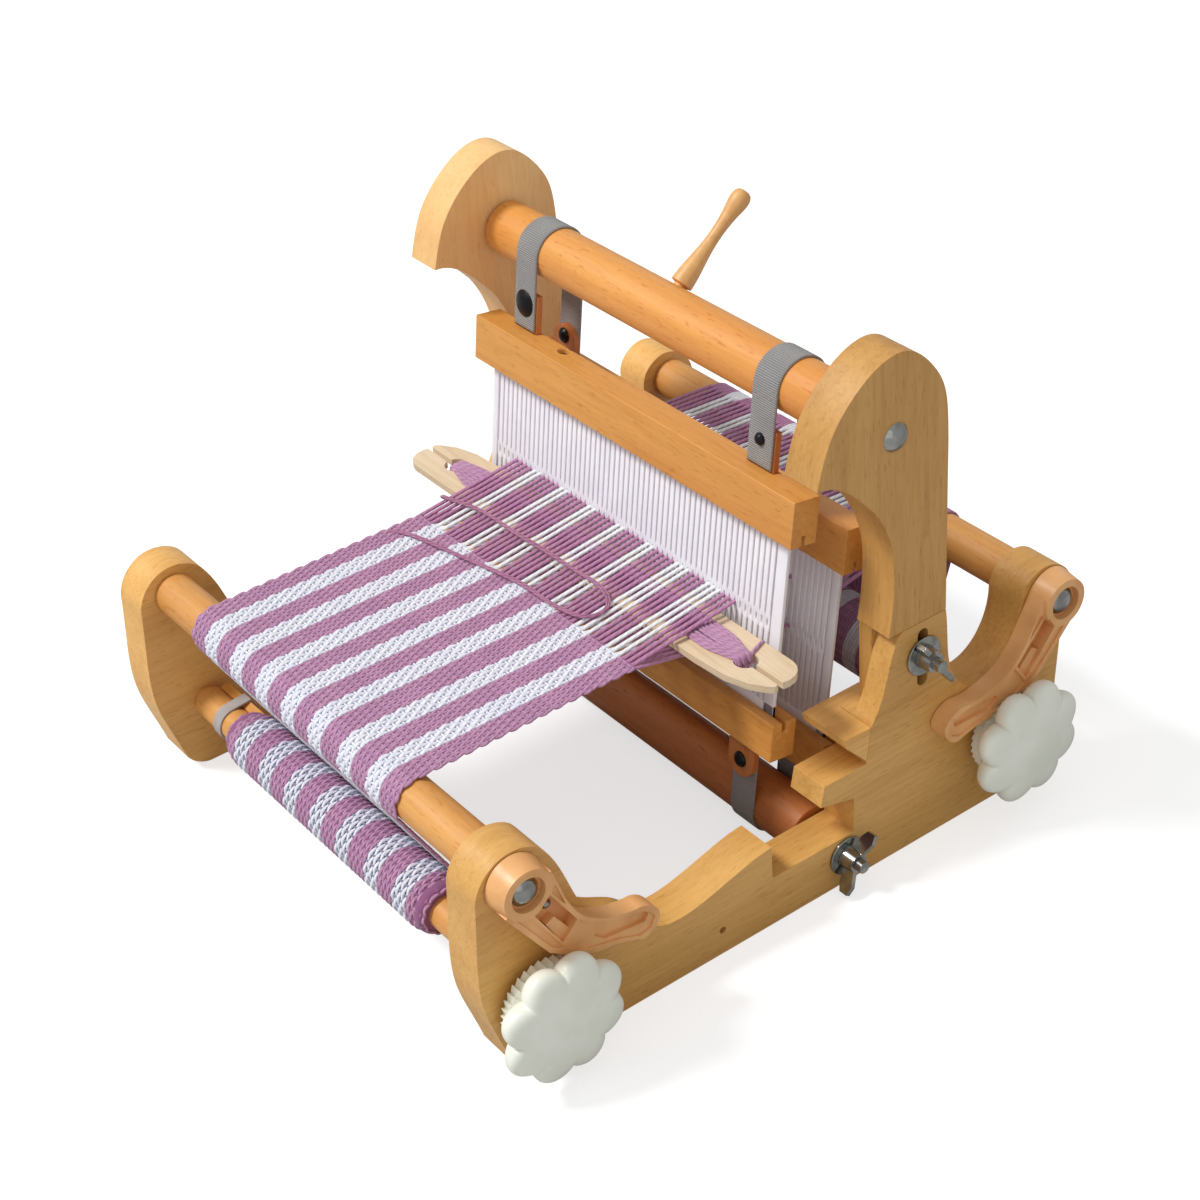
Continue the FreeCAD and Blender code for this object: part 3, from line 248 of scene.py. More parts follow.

# %% [markdown]
# The yarn is soft acrylic. Each thread is a real tube, so the material only needs the twist of its two plies
# and the fine fibres, with painted shade in the grooves between the plies. An attribute named white, stored
# by the node tree that makes the threads, says which ones are white, and a sheen gives the fuzzy rim that
# acrylic has. Webbing has fine ribs on a UV map.

# %% Yarn and webbing
PLY_TURN = 0.0042
# The painted shade in the white yarn's ply grooves is paler than in the purple's.
PALE_GROOVE_SHADE = (230, 230, 236)
RIB_ACROSS, RIB_ALONG = 1.7, 1.0


def yarn(name, purple, white, shade=(206, 194, 212), relief=0.00016):
    """Two twisted plies with painted shade in their grooves. The node tree that spins the yarn stores along,
    ply_cos, ply_sin and white.
    """
    material, tree, shader, place = new_material(name, 0.85, Sheen_Weight=0.25, Sheen_Roughness=0.5)
    kind, along, ply_cos, ply_sin = (node(tree, "ShaderNodeAttribute", attribute_name=label).outputs["Fac"]
                                     for label in ("white", "along", "ply_cos", "ply_sin"))
    phase = maths(tree, "MULTIPLY", along, 2 * math.pi / PLY_TURN)
    first = maths(tree, "MULTIPLY", ply_sin, maths(tree, "COSINE", phase))
    ply = maths(tree, "ADD", first, maths(tree, "MULTIPLY", ply_cos, maths(tree, "SINE", phase)))
    fibres = node(tree, "ShaderNodeTexNoise", {"Vector": place, "Scale": 2600, "Detail": 2})
    patches = node(tree, "ShaderNodeTexNoise", {"Vector": place, "Scale": 130, "Detail": 2})
    base = blend_colours(tree, kind, screen(*purple), screen(*white))
    # Painted shade: the ply grooves are blended towards a dim shade colour, a paler one on the white yarn.
    groove_shade = blend_colours(tree, kind, screen(*shade), screen(*PALE_GROOVE_SHADE))
    darker = blend_colours(tree, 1.0, base, groove_shade, "MULTIPLY")
    share = maths(tree, "ADD", spread(tree, ply, -1.0, 0.4, 0.0, 0.75),
                  spread(tree, patches.outputs[0], 0.35, 0.65, 0.0, 0.25))
    tree.links.new(blend_colours(tree, share, darker, base), shader.inputs["Base Color"])
    height = maths(tree, "ADD", maths(tree, "MULTIPLY", ply, 0.8), fibres.outputs[0])
    bump(tree, shader, height, relief, 0.8)
    return material


loom_yarn = yarn("loom_yarn", (200, 150, 184), (242, 243, 252))
warp_yarn = yarn("warp_yarn", (192, 134, 172), (248, 250, 252), shade=(228, 218, 232), relief=0.00006)
# A dim copy of the yarn, painted shade, for the ground sheet, the roll cores and the roll's weft, which lie
# in shade between and under the threads.
painted_shade_yarn = yarn("painted_shade_yarn", (156, 98, 140), (140, 148, 168))
tail_yarn = yarn("tail_yarn", (186, 124, 156), (232, 236, 246), shade=(190, 174, 196))


def tape(name, light, dark):
    """Webbing on a UV map whose U counts millimetres across and V millimetres along, with painted shade in
    the rib hollows.
    """
    material, tree, shader, place = new_material(name, 0.8, Sheen_Weight=0.2)
    across = node(tree, "ShaderNodeUVMap", uv_map="cloth").outputs[0]
    parts = node(tree, "ShaderNodeSeparateXYZ", {0: across})
    wave_u = maths(tree, "SINE", maths(tree, "MULTIPLY", parts.outputs[0], 2 * math.pi / RIB_ACROSS))
    wave_v = maths(tree, "SINE", maths(tree, "MULTIPLY", parts.outputs[1], 2 * math.pi / RIB_ALONG))
    ribs = maths(tree, "MULTIPLY", maths(tree, "ADD", maths(tree, "ABSOLUTE", wave_u), 0.4), wave_v)
    beads = maths(tree, "MULTIPLY", ribs, 0.7)
    share = spread(tree, beads, -1, 1)
    dirt = node(tree, "ShaderNodeTexNoise", {"Vector": place, "Scale": 60, "Detail": 3})
    share = maths(tree, "MULTIPLY", share, spread(tree, dirt.outputs[0], 0.3, 0.7, 0.75, 1.1))
    # Painted shade: the rib hollows take the dark colour and the raised ribs take the light one.
    tree.links.new(blend_colours(tree, share, screen(*dark), screen(*light)), shader.inputs["Base Color"])
    bump(tree, shader, beads, 0.0004, 0.8)
    return material


webbing = tape("webbing", (186, 184, 182), (128, 126, 124))
print("finishes made:", len(bpy.data.materials))

# %% [markdown]
# The stage is a plain white floor and soft light from the upper left and front, which leaves the knob side
# in a half shade as in the picture. Camera rays see a white world, and the light itself stays modest. The
# floor is grey to the light and glows for the camera alone, so it looks white and throws little light back.

# %% Light, floor and camera
world = bpy.data.worlds.new("studio")
bpy.context.scene.world = world
world.use_nodes = True
sky = world.node_tree
background = sky.nodes["Background"]
seen = node(sky, "ShaderNodeLightPath")
white_rays = maths(sky, "MAXIMUM", seen.outputs["Is Camera Ray"], seen.outputs["Is Transmission Ray"])
feed(sky, background, {"Strength": spread(sky, white_rays, 0, 1, 0.5, 1.0), "Color": (1, 1, 1, 1)})


def lamp(name, kind, place, target, energy, size):
    data = bpy.data.lights.new(name, kind)
    data.energy = energy
    if kind == "AREA":
        data.size = size
    else:
        data.angle = size
    made = put(name, data)
    made.location = place
    made.rotation_mode = "QUATERNION"
    made.rotation_quaternion = (Vector(target) - Vector(place)).to_track_quat("-Z", "Y")


lamp("key", "SUN", (-0.5, -0.75, 1.15), (0, 0, 0), 2.2, math.radians(14))
lamp("fill", "AREA", (1.2, -0.7, 0.7), (0, 0, 0.1), 1.0, 1.0)

FLOOR_GREY, FLOOR_GLOW = 0.5, 0.66
floor_mesh = bpy.data.meshes.new("floor")
floor_mesh.from_pydata([(-6, -6, 0), (6, -6, 0), (6, 6, 0), (-6, 6, 0)], [], [(0, 1, 2, 3)])
floor = put("floor", floor_mesh)
floor_paint, tree, shader, place = new_material("floor_paint", 0.9)
feed(tree, shader, {"Base Color": (FLOOR_GREY, FLOOR_GREY, FLOOR_GREY, 1)})
seen = node(tree, "ShaderNodeLightPath")
strength = maths(tree, "MULTIPLY", seen.outputs["Is Camera Ray"], FLOOR_GLOW)
glow = node(tree, "ShaderNodeEmission", {"Color": (1, 1, 1, 1), "Strength": strength})
both = node(tree, "ShaderNodeAddShader", {0: shader.outputs[0], 1: glow.outputs[0]})
tree.links.new(both.outputs[0], tree.nodes["Material Output"].inputs["Surface"])
floor_mesh.materials.append(floor_paint)

camera_data = bpy.data.cameras.new("camera")
camera = put("camera", camera_data)
bpy.context.scene.camera = camera
camera_data.sensor_width = 36.0
camera_data.lens = 73.95
camera_data.clip_start = 0.05
camera.location = at(771.08, -574.61, 726.29)
azimuth, elevation, roll = (math.radians(v) for v in (55.357, 34.270, -4.526))
back = Vector((math.sin(azimuth) * math.cos(elevation), -math.cos(azimuth) * math.cos(elevation),
               math.sin(elevation)))
right = Vector((math.cos(azimuth), math.sin(azimuth), 0))
up = back.cross(right)
rolled_right = right * math.cos(roll) + up * math.sin(roll)
rolled_up = up * math.cos(roll) - right * math.sin(roll)
camera.rotation_mode = "QUATERNION"
camera.rotation_quaternion = Matrix((rolled_right, rolled_up, back)).transposed().to_quaternion()
bpy.context.scene.view_settings.view_transform = "Standard"
print("camera at", [round(v, 3) for v in camera.location])

# %% [markdown]
# A piece is a plain mesh whose object stays at the origin. One helper puts a mesh in the scene, gives it a
# finish, lets it ride on its body and hides the CAD nodes that it stands for.

# %% Putting a finished piece in its place
def piece(name, mesh, finish, body, stands_for=(), slot=None):
    made = put(name, mesh)
    mesh.materials.clear()
    mesh.materials.append(finish)
    if body:
        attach(made, body)
    if stands_for:
        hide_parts(*stands_for)
    slot = slot or (slot_of_node[stands_for[0]] if stands_for else None)
    return made


# %% [markdown]
# Most drawn meshes are rings of points laid one after another. These helpers give the faces between the
# rings, turn a closed mesh's faces outwards and shade it smooth. Two more open a mesh for editing as a
# shape, and write a shape back into a mesh or into a new one.

# %% Helpers for meshes
def smooth_all(mesh):
    mesh.polygons.foreach_set("use_smooth", [True] * len(mesh.polygons))
    return mesh


def plain_mesh(name, points, faces):
    mesh = bpy.data.meshes.new(name)
    mesh.from_pydata([tuple(p) for p in points], [], [tuple(f) for f in faces])
    mesh.update()
    return mesh


def shape_of(*meshes):
    shape = bmesh.new()
    for mesh in meshes:
        shape.from_mesh(mesh)
    return shape


def into_mesh(shape, mesh):
    """Writes a shape into a mesh, or into a new one when a name is given, and frees the shape."""
    mesh = bpy.data.meshes.new(mesh) if isinstance(mesh, str) else mesh
    shape.to_mesh(mesh)
    shape.free()
    return mesh


def outward(mesh):
    shape = shape_of(mesh)
    bmesh.ops.recalc_face_normals(shape, faces=shape.faces)
    return into_mesh(shape, mesh)


def circle(sides):
    return [2 * math.pi * i / sides for i in range(sides)]


def ring_faces(rings, size):
    return [(k * size + i, k * size + (i + 1) % size, (k + 1) * size + (i + 1) % size, (k + 1) * size + i)
            for k in range(rings - 1) for i in range(size)]


def closed_faces(rings, size):
    """The faces between the rings, and one face that closes each end."""
    ends_of_tube = [tuple(range(size))[::-1], tuple((rings - 1) * size + i for i in range(size))]
    return ring_faces(rings, size) + ends_of_tube


# %% [markdown]
# Most rigid parts keep their CAD shape and only need the small round that sanding or a mould gives an edge.
# The CAD mesh is loose triangles, so the copy is merged first and its flat faces joined, and then every sharp
# edge is bevelled. Weighted normals keep the big flat faces flat. Wood and plastic come first, and then the
# bright bolts, washers and nuts and the frames' black screws, whose domes need a sharper limit.

# %% Softening the edges of a CAD part
def softened(name, width, finish, segments=3, sharp=32.0):
    shape = shape_of(frame["nodes"][name].data)
    bmesh.ops.remove_doubles(shape, verts=shape.verts, dist=0.00002)
    bmesh.ops.dissolve_limit(shape, angle_limit=math.radians(0.8), verts=shape.verts, edges=shape.edges)
    limit = math.radians(sharp)
    edges = [e for e in shape.edges if len(e.link_faces) == 2 and e.calc_face_angle() > limit]
    bmesh.ops.bevel(shape, geom=edges, offset=width * MM, offset_type="OFFSET", segments=segments,
                    profile=0.5, affect="EDGES", clamp_overlap=True)
    mesh = smooth_all(into_mesh(shape, name + "_piece"))
    made = piece(name + "_piece", mesh, finish, body_of_node[name], [name])
    weighted = made.modifiers.new("flat faces stay flat", "WEIGHTED_NORMAL")
    weighted.keep_sharp = False


# The left rails, the left upright and both rest blocks take the lighter beech copies, which are painted
# light.
wooden = {"front_rail_left": (2.2, painted_lit_rail), "front_rail_right": (2.2, beech_rail),
          "rear_rail_left": (1.8, painted_lit_rail), "rear_rail_right": (1.8, beech_rail),
          "rest_block_left": (1.2, painted_lit_rail), "rest_block_right": (1.2, painted_lit_rail),
          "upright_left": (2.2, painted_lit_upright), "upright_right": (2.2, beech_upright),
          "breast_beam": (0.8, beech_beam), "back_beam": (0.8, beech_beam),
          "cloth_beam": (0.4, beech_beam), "warp_beam": (0.4, beech_beam),
          "top_roller": (0.8, orange_dowel), "lower_roller": (0.8, painted_shade_dowel),
          "roller_handle": (0.3, turned_handle),
          "front_frame_top_bar": (1.0, beech_bar), "rear_frame_top_bar": (1.0, beech_bar),
          "front_frame_bottom_bar": (1.0, beech_bar), "rear_frame_bottom_bar": (1.0, beech_bar),
          "front_frame_tabs": (0.5, tab_wood), "rear_frame_tabs": (0.5, tab_wood),
          "shuttle": (0.9, pale_wood), "front_pawl": (0.5, tan_plastic), "rear_pawl": (0.5, tan_plastic),
          "cloth_stick": (0.5, beech_bar), "cloth_bands": (0.3, grey_plastic)}
for name, (width, finish) in wooden.items():
    softened(name, width, finish)
metal = (
    (("lap_bolts", "lap_washers", "upright_washers", "lap_wing_nut_left", "lap_wing_nut_right",
      "upright_wing_nut_left", "upright_wing_nut_right"), 0.45, 32, chrome),
    (("breast_beam_bolts", "back_beam_bolts", "upright_bolts", "top_roller_bolts", "front_pawl_screw",
      "rear_pawl_screw"), 0.3, 40, chrome),
    (("front_frame_screws", "rear_frame_screws"), 0.4, 40, black_metal))
for names, width, sharp, finish in metal:
    for name in names:
        softened(name, width, finish, segments=2, sharp=sharp)
print("softened parts:", len(wooden) + sum(len(names) for names, _, _, _ in metal))

# %% [markdown]
# What repeats is made by one small node tree. It sets copies of a shape along a line, or round an axle, by a
# step and a turn for each copy. The tree ends in Realize Instances and Set Material, and its result is kept
# as a plain mesh. A second tree, further down, makes the yarn, so what both need is written once.

# %% A node tree that repeats a shape
def geometry_tree(name, sockets):
    """A new geometry node tree, the identifiers of its inputs, and those inputs inside the tree."""
    tree = bpy.data.node_groups.new(name, "GeometryNodeTree")
    tree.is_modifier = True
    labels = {}
    for label, kind in sockets:
        made = tree.interface.new_socket(label, in_out="INPUT", socket_type="NodeSocket" + kind)
        labels[label] = made.identifier
    tree.interface.new_socket("Geometry", in_out="OUTPUT", socket_type="NodeSocketGeometry")
    return tree, labels, tree.nodes.new("NodeGroupInput").outputs


def end_tree(tree, geometry, finish):
    real = node(tree, "GeometryNodeRealizeInstances", {0: geometry}).outputs[0]
    painted = node(tree, "GeometryNodeSetMaterial", {"Geometry": real, "Material": finish}).outputs[0]
    tree.links.new(painted, tree.nodes.new("NodeGroupOutput").inputs[0])


repeat, repeat_sockets, given = geometry_tree("Repeat a shape", (
    ("Geometry", "Geometry"), ("Shape", "Object"), ("Count", "Int"), ("Start", "Vector"), ("Step", "Vector"),
    ("Turn", "Float"), ("Finish", "Material")))
index = node(repeat, "GeometryNodeInputIndex").outputs[0]
step = node(repeat, "ShaderNodeVectorMath", {0: given["Step"], "Scale": index}, operation="SCALE").outputs[0]
place = node(repeat, "ShaderNodeVectorMath", {0: given["Start"], 1: step}, operation="ADD").outputs[0]
points = node(repeat, "GeometryNodePoints", {"Count": given["Count"], "Position": place}).outputs[0]
turned = node(repeat, "ShaderNodeCombineXYZ", {0: maths(repeat, "MULTIPLY", index, given["Turn"])}).outputs[0]
shape = node(repeat, "GeometryNodeObjectInfo", {"Object": given["Shape"]}, transform_space="ORIGINAL")
copies = node(repeat, "GeometryNodeInstanceOnPoints",
              {"Points": points, "Instance": shape.outputs["Geometry"], "Rotation": turned}).outputs[0]
end_tree(repeat, copies, given["Finish"])


def evaluated_mesh(carrier, name):
    """The plain mesh that a carrier's node tree gives. The carrier and its modifier go away."""
    bpy.context.view_layer.update()
    graph = bpy.context.evaluated_depsgraph_get()
    mesh = bpy.data.meshes.new_from_object(carrier.evaluated_get(graph))
    mesh.name = name
    bpy.data.objects.remove(carrier)
    return mesh


def run_tree(tree, sockets, name, mesh=None, **values):
    carrier = put(name + "_carrier", mesh or bpy.data.meshes.new(name + "_empty"))
    modifier = carrier.modifiers.new("tree", "NODES")
    modifier.node_group = tree
    for label, value in values.items():
        modifier[sockets[label]] = value
    return evaluated_mesh(carrier, name)


def repeated(name, mesh, count, start, step, turn, finish):
    """Copies of a mesh from a start, each a step and a turn further on, as one plain mesh."""
    shape = put(name + "_shape", mesh)
    made = run_tree(repeat, repeat_sockets, name, Shape=shape, Count=count, Start=start, Step=step,
                    Turn=turn, Finish=finish)
    bpy.data.objects.remove(shape)
    return made


# %% [markdown]
# The front frame's upper bar has one sunk screw in its top, left of the middle. A cutter with a flared rim
# is taken out of the finished bar, and a small black screw sits in the bore.

# %% The sunk screw in the front bar
slope_down = Vector((0, math.sin(lean), math.cos(lean)))
slope_square = Vector((0, math.cos(lean), -math.sin(lean)))


def leaned_matrix(across, along, x=0.0):
    """Turns a shape drawn upright at the origin to a frame's lean and sets it on the slide."""
    y, z = lean_point(across, along)
    turned = Matrix((Vector((1, 0, 0)), slope_square, slope_down)).transposed().to_4x4()
    return Matrix.Translation(at(x, y, z)) @ turned


def turned_mesh(name, profile, sides=40):
    """A solid of revolution about Z from (radius, height) pairs in millimetres, set in the bar's top."""
    points = [(r * MM * math.cos(a), r * MM * math.sin(a), z * MM) for r, z in profile for a in circle(sides)]
    mesh = plain_mesh(name, points, closed_faces(len(profile), sides))
    mesh.transform(leaned_matrix(SUNK_ACROSS, -frame_drop, SUNK_X))
    return mesh


SUNK_X, SUNK_ACROSS, BORE_RADIUS, BORE_DEPTH, BORE_LIP = -58.5, -12.5, 2.7, 6, 0.9
lip_radius = BORE_RADIUS + BORE_LIP
cutter = put("cutter", turned_mesh("cutter", [(BORE_RADIUS, -BORE_DEPTH), (BORE_RADIUS, -BORE_LIP),
                                              (lip_radius, 0), (lip_radius, 2)]))
bar_piece = bpy.data.objects["front_frame_top_bar_piece"]
bore = bar_piece.modifiers.new("bore", "BOOLEAN")
bore.operation, bore.solver, bore.object = "DIFFERENCE", "EXACT", cutter
bar_piece.modifiers.move(1, 0)
bpy.context.view_layer.update()
bored = bpy.data.meshes.new_from_object(bar_piece.evaluated_get(bpy.context.evaluated_depsgraph_get()))
bar_piece.modifiers.clear()
bar_piece.data = bored
bpy.data.objects.remove(cutter)
screw_profile = [(1.0, -5.9), (2.6, -4.5), (2.6, -2.6), (1.9, -1.9), (0.9, -1.9), (0.7, -2.8)]
screw_mesh = smooth_all(turned_mesh("sunk_screw", screw_profile))
piece("front_bar_sunk_screw", screw_mesh, black_metal, "front_frame", (), "black_screw")

# %% [markdown]
# Each heddle sheet is a comb moulded in white plastic. A flat bar with an eye carries one thread, and the
# slot beside it lets the other frame's thread pass. The threads are 1.81 mm apart, so bars with eyes stand
# at twice that. One bar is drawn as a flat outline with an oval hole, thickened and bevelled, and repeated.

# %% The heddle combs
END_PITCH = 1.81
ends = 92
bar_pitch = 2 * END_PITCH
bar_width, bar_thickness, bar_round = 3.46, 1.5, 0.1
eye_half_width, eye_half_height, eye_frame = 0.55, 2.0, 4.5
comb_grip, comb_edge = 5.0, 6.0
rim_half, rim_height, rim_slit, rim_round = 0.9, 9.0, 0.9, 0.25


def comb_bar(height, eye_height):
    """A flat bar with an oval eye, drawn in X and Z with its foot at z = 0. Sizes are millimetres."""
    sides = 20
    half, low, high = bar_width / 2, eye_height - eye_frame, eye_height + eye_frame
    eye, rim = [], []
    for a in circle(sides):
        x, z = math.cos(a), math.sin(a)
        eye.append((eye_half_width * x, eye_height + eye_half_height * z))
        reach = 1 / max(abs(x), abs(z))
        rim.append((x * reach * half, eye_height + z * reach * eye_frame))
    shape = bmesh.new()
    inner = [shape.verts.new((x, 0, z)) for x, z in eye]
    outer = [shape.verts.new((x, 0, z)) for x, z in rim]
    for i in range(sides):
        j = (i + 1) % sides
        shape.faces.new((inner[i], outer[i], outer[j], inner[j]))
    for level, end in ((low, 0.0), (high, height)):
        row = sorted((v for v in outer if abs(v.co.z - level) < 1e-6), key=lambda v: v.co.x)
        far = [shape.verts.new((v.co.x, 0, end)) for v in row]
        for a, b, c, d in zip(row, row[1:], far[1:], far):
            shape.faces.new((a, b, c, d))
    bmesh.ops.scale(shape, vec=(MM, MM, MM), verts=shape.verts)
    bmesh.ops.recalc_face_normals(shape, faces=shape.faces)
    made = put("comb_bar", into_mesh(shape, "comb_bar"))
    thick = made.modifiers.new("thickness", "SOLIDIFY")
    thick.thickness, thick.offset = bar_thickness * MM, 0
    rounded = made.modifiers.new("rounding", "BEVEL")
    rounded.width, rounded.segments, rounded.limit_method = bar_round * MM, 1, "ANGLE"
    return smooth_all(evaluated_mesh(made, "comb_bar_mesh"))


def box_shape(name, low, high, round_by):
    """A bevelled block between two corners in millimetres, drawn at the origin."""
    shape = bmesh.new()
    bmesh.ops.create_cube(shape, size=1)
    for v in shape.verts:
        v.co = Vector([MM * (high[i] if v.co[i] > 0 else low[i]) for i in range(3)])
    bmesh.ops.bevel(shape, geom=list(shape.edges), offset=round_by * MM, segments=2, profile=0.5,
                    affect="EDGES")
    return smooth_all(into_mesh(shape, name))


def thread_x(i):
    """Where end number i passes the combs and the back beam."""
    return warp_centre_x + (i - (ends - 1) / 2) * END_PITCH


for word, facing, top in (("front", -1, -frame_drop), ("rear", 1, -frame_drop - frame_travel)):
    bar_foot = top - top_bar_height
    comb_foot = bar_foot - frame_window - comb_grip
    eye_along = bar_foot - frame_window / 2 - 1
    height = frame_window + 2 * comb_grip
    first = thread_x(0 if facing < 0 else 1)
    while first - bar_pitch > -sheet_half + comb_edge:
        first -= bar_pitch
    count = int((sheet_half - comb_edge - first) / bar_pitch) + 1
    last = first + (count - 1) * bar_pitch
    bars = repeated(word + "_bars", comb_bar(height, eye_along - comb_foot), count, (first * MM, 0, 0),
                    (bar_pitch * MM, 0, 0), 0.0, comb_white)
    edge = bar_width / 2 + rim_slit
    upper = height - rim_height
    sides = [(-sheet_half, 0, first - edge, height), (last + edge, 0, sheet_half, height),
             (-sheet_half, 0, sheet_half, rim_height), (-sheet_half, upper, sheet_half, height)]
    rims = [box_shape("rim", (left, -rim_half, low), (right, rim_half, high), rim_round)
            for left, low, right, high in sides]
    comb = into_mesh(shape_of(bars, *rims), word + "_comb")
    comb.transform(leaned_matrix(facing * bar_centre, comb_foot))
    piece(word + "_comb", comb, comb_white, word + "_frame", [word + "_heddle_sheet"])
    print(word, "comb:", count, "bars,", len(comb.polygons), "faces")

# %% [markdown]
# Webbing is a flat strip that follows a line in the side view. The strip has a real thickness and rounded
# edges, and a UV map in millimetres, so its weave stays the right size round the rollers. The part round
# a roller stays with that roller's bearings, and each straight run goes from there to its frame on no body.

# %% The webbing straps
STRAP_WIDTH, STRAP_THICKNESS = 15.5, 1.2
roller_line = roller_radius + STRAP_THICKNESS / 2


def strip(name, path, start_length=0.0):
    """A strip of webbing along (y, z, x) points in drawing millimetres, with the cross-section rounded."""
    centre = np.array(path, float)
    tangent = np.gradient(centre, axis=0)
    tangent /= np.linalg.norm(tangent, axis=1)[:, None]
    normal = np.cross(tangent, [1.0, 0, 0])
    half, thick = STRAP_WIDTH / 2, STRAP_THICKNESS / 2
    across = np.linspace(-half + 0.5, half - 0.5, 9)
    selvedge = [(half - 0.15, thick * 0.75), (half, 0), (half - 0.15, -thick * 0.75)]
    ring = [(u, thick) for u in across] + selvedge
    ring += [(-u, -n) for u, n in ring]
    run = np.concatenate([[0], np.cumsum(np.linalg.norm(np.diff(centre, axis=0), axis=1))]) + start_length
    points, places = [], []
    for i, middle in enumerate(centre):
        for u, n in ring:
            points.append(at(*(middle + np.array([u, 0, 0]) + normal[i] * n)))
            places.append((u, run[i]))
    mesh = plain_mesh(name, points, closed_faces(len(centre), len(ring)))
    layer = mesh.uv_layers.new(name="cloth")
    for loop in mesh.loops:
        layer.data[loop.index].uv = places[loop.vertex_index]
    return smooth_all(outward(mesh))


def straight_run(x, across, start, end):
    steps = max(6, int(abs(end - start) / 1.5))
    return [(x, *lean_point(across, start + (end - start) * k / steps)) for k in range(steps + 1)]


def strap(name, x, level, way, keeper, overlap, ends_of_bars):
    """One strap: its part round a roller at a level of the slide, and its front and rear runs to the bars."""
    arc = [(x, *lean_point(roller_line * math.cos(a), level + roller_line * math.sin(a)))
           for a in np.linspace(way * math.pi, 0, 31)]
    wrap = straight_run(x, -roller_line, level - way * overlap, level)[:-1] + arc
    wrap += straight_run(x, roller_line, level, level - way * overlap)[1:]
    piece(name + "_wrap", strip("wrap", wrap, 40), webbing, keeper, [name])
    for end, bar, side in zip(("front", "rear"), ends_of_bars, (-1, 1)):
        run = straight_run(x, side * (roller_line - 0.02), level, bar + way)
        made = piece(name + "_" + end + "_run", strip("run", run), webbing, None, [name])
        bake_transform(made)


front_top, rear_top = -frame_drop, -frame_drop - frame_travel
bar_stack = top_bar_height + frame_window + lower_bar_height
tops, feet = (front_top, rear_top), (front_top - bar_stack, rear_top - bar_stack)
for word, x in (("left", -88.7), ("right", 81.0)):
    strap("top_strap_" + word, x, 0.0, 1, "gantry", 4.0, tops)
for word, x in (("left", -90.0), ("right", 90.0)):
    strap("lower_strap_" + word, x, -roller_distance, -1, "sides", 0.6, feet)
print("straps made")

# %% [markdown]
# The knobs are moulded in one soft white plastic. Behind the flower sits a ratchet with ribs like a crown
# wheel. The flower is a cushion on a wavy outline. From its belly to its face every row of points melts
# from the outline into a plain circle, so the lobes are round at the rim and gone on the face.

# %% The flower knobs
LOBES, LOBE_CIRCLE, LOBE_RADIUS, NOTCH_FILL = 8, 21.0, 9.0, 0.9
FACE_RADIUS, FACE_CROWN, BACK_ROUND = 16.0, 0.9, 4.6
knob_back, knob_belly, knob_front = 157.6, 163.2, 170.2


def flower_outline(angle):
    """The rim of eight round lobes about a hub, with the notches between them eased."""
    turn = (angle - math.pi / LOBES) % (2 * math.pi / LOBES)
    off = turn if turn < math.pi / LOBES else turn - 2 * math.pi / LOBES
    rim = LOBE_CIRCLE * math.cos(off) + math.sqrt(LOBE_RADIUS ** 2 - (LOBE_CIRCLE * math.sin(off)) ** 2)
    notch = 0.5 + 0.5 * math.cos(LOBES * off)
    return rim + NOTCH_FILL * (1 - notch) ** 6


def flower(y, z):
    angles = circle(192)
    rows = []
    for t in np.linspace(0, math.pi / 2, 9):
        x = knob_back + (knob_belly - knob_back) * (1 - math.cos(t))
        rows.append((x, [flower_outline(a) - BACK_ROUND * (1 - math.sin(t)) for a in angles]))
    for t in np.linspace(0, math.pi / 2, 15)[1:]:
        x = knob_belly + (knob_front - FACE_CROWN - knob_belly) * math.sin(t) ** 0.8
        melt = 1 - math.cos(t)
        rows.append((x, [flower_outline(a) * (1 - melt) + FACE_RADIUS * melt for a in angles]))
    for share in np.linspace(0, 1, 7)[1:-1]:
        rows.append((knob_front - FACE_CROWN * (1 - share) ** 2, [FACE_RADIUS * (1 - share)] * len(angles)))
    points = [at(*about(x, y, z, r, a)) for x, row in rows for a, r in zip(angles, row)]
    points += [at(knob_front, y, z), at(knob_back, y, z)]
    size = len(angles)
    last, tip, foot = (len(rows) - 1) * size, len(points) - 2, len(points) - 1
    faces = ring_faces(len(rows), size)
    for i in range(size):
        j = (i + 1) % size
        faces += [(last + i, last + j, tip), (j, i, foot)]
    return smooth_all(outward(plain_mesh("flower", points, faces)))


TEETH, TOOTH_TIP, TOOTH_ROOT, RIB_START, HUB_RADIUS = 36, 21.0, 19.0, 15.5, 8.0
ring_back, rim_front, rib_front, hub_front = 148.5, 152.6, 156.6, 157.2


def ratchet_tooth(way):
    """One saw tooth with a rib on its face, about the axle along X. Sizes are millimetres."""
    turn = way * 2 * math.pi / TEETH
    rows = []
    for angle, rim, lift in ((0, TOOTH_TIP, 0.9), (turn, TOOTH_ROOT, -0.3)):
        for r, x in ((HUB_RADIUS, ring_back), (rim, ring_back), (rim, rim_front + lift),
                     (RIB_START, rib_front + lift), (HUB_RADIUS, hub_front + lift)):
            rows.append(Vector(about(x, 0, 0, r, angle)) * MM)
    shape = shape_of(outward(plain_mesh("tooth", rows, closed_faces(2, len(rows) // 2))))
    edges = [e for e in shape.edges if e.calc_face_angle(0) > 0.6]
    bmesh.ops.bevel(shape, geom=edges, offset=0.12 * MM, segments=1, affect="EDGES")
    return into_mesh(shape, "ribbed_tooth")


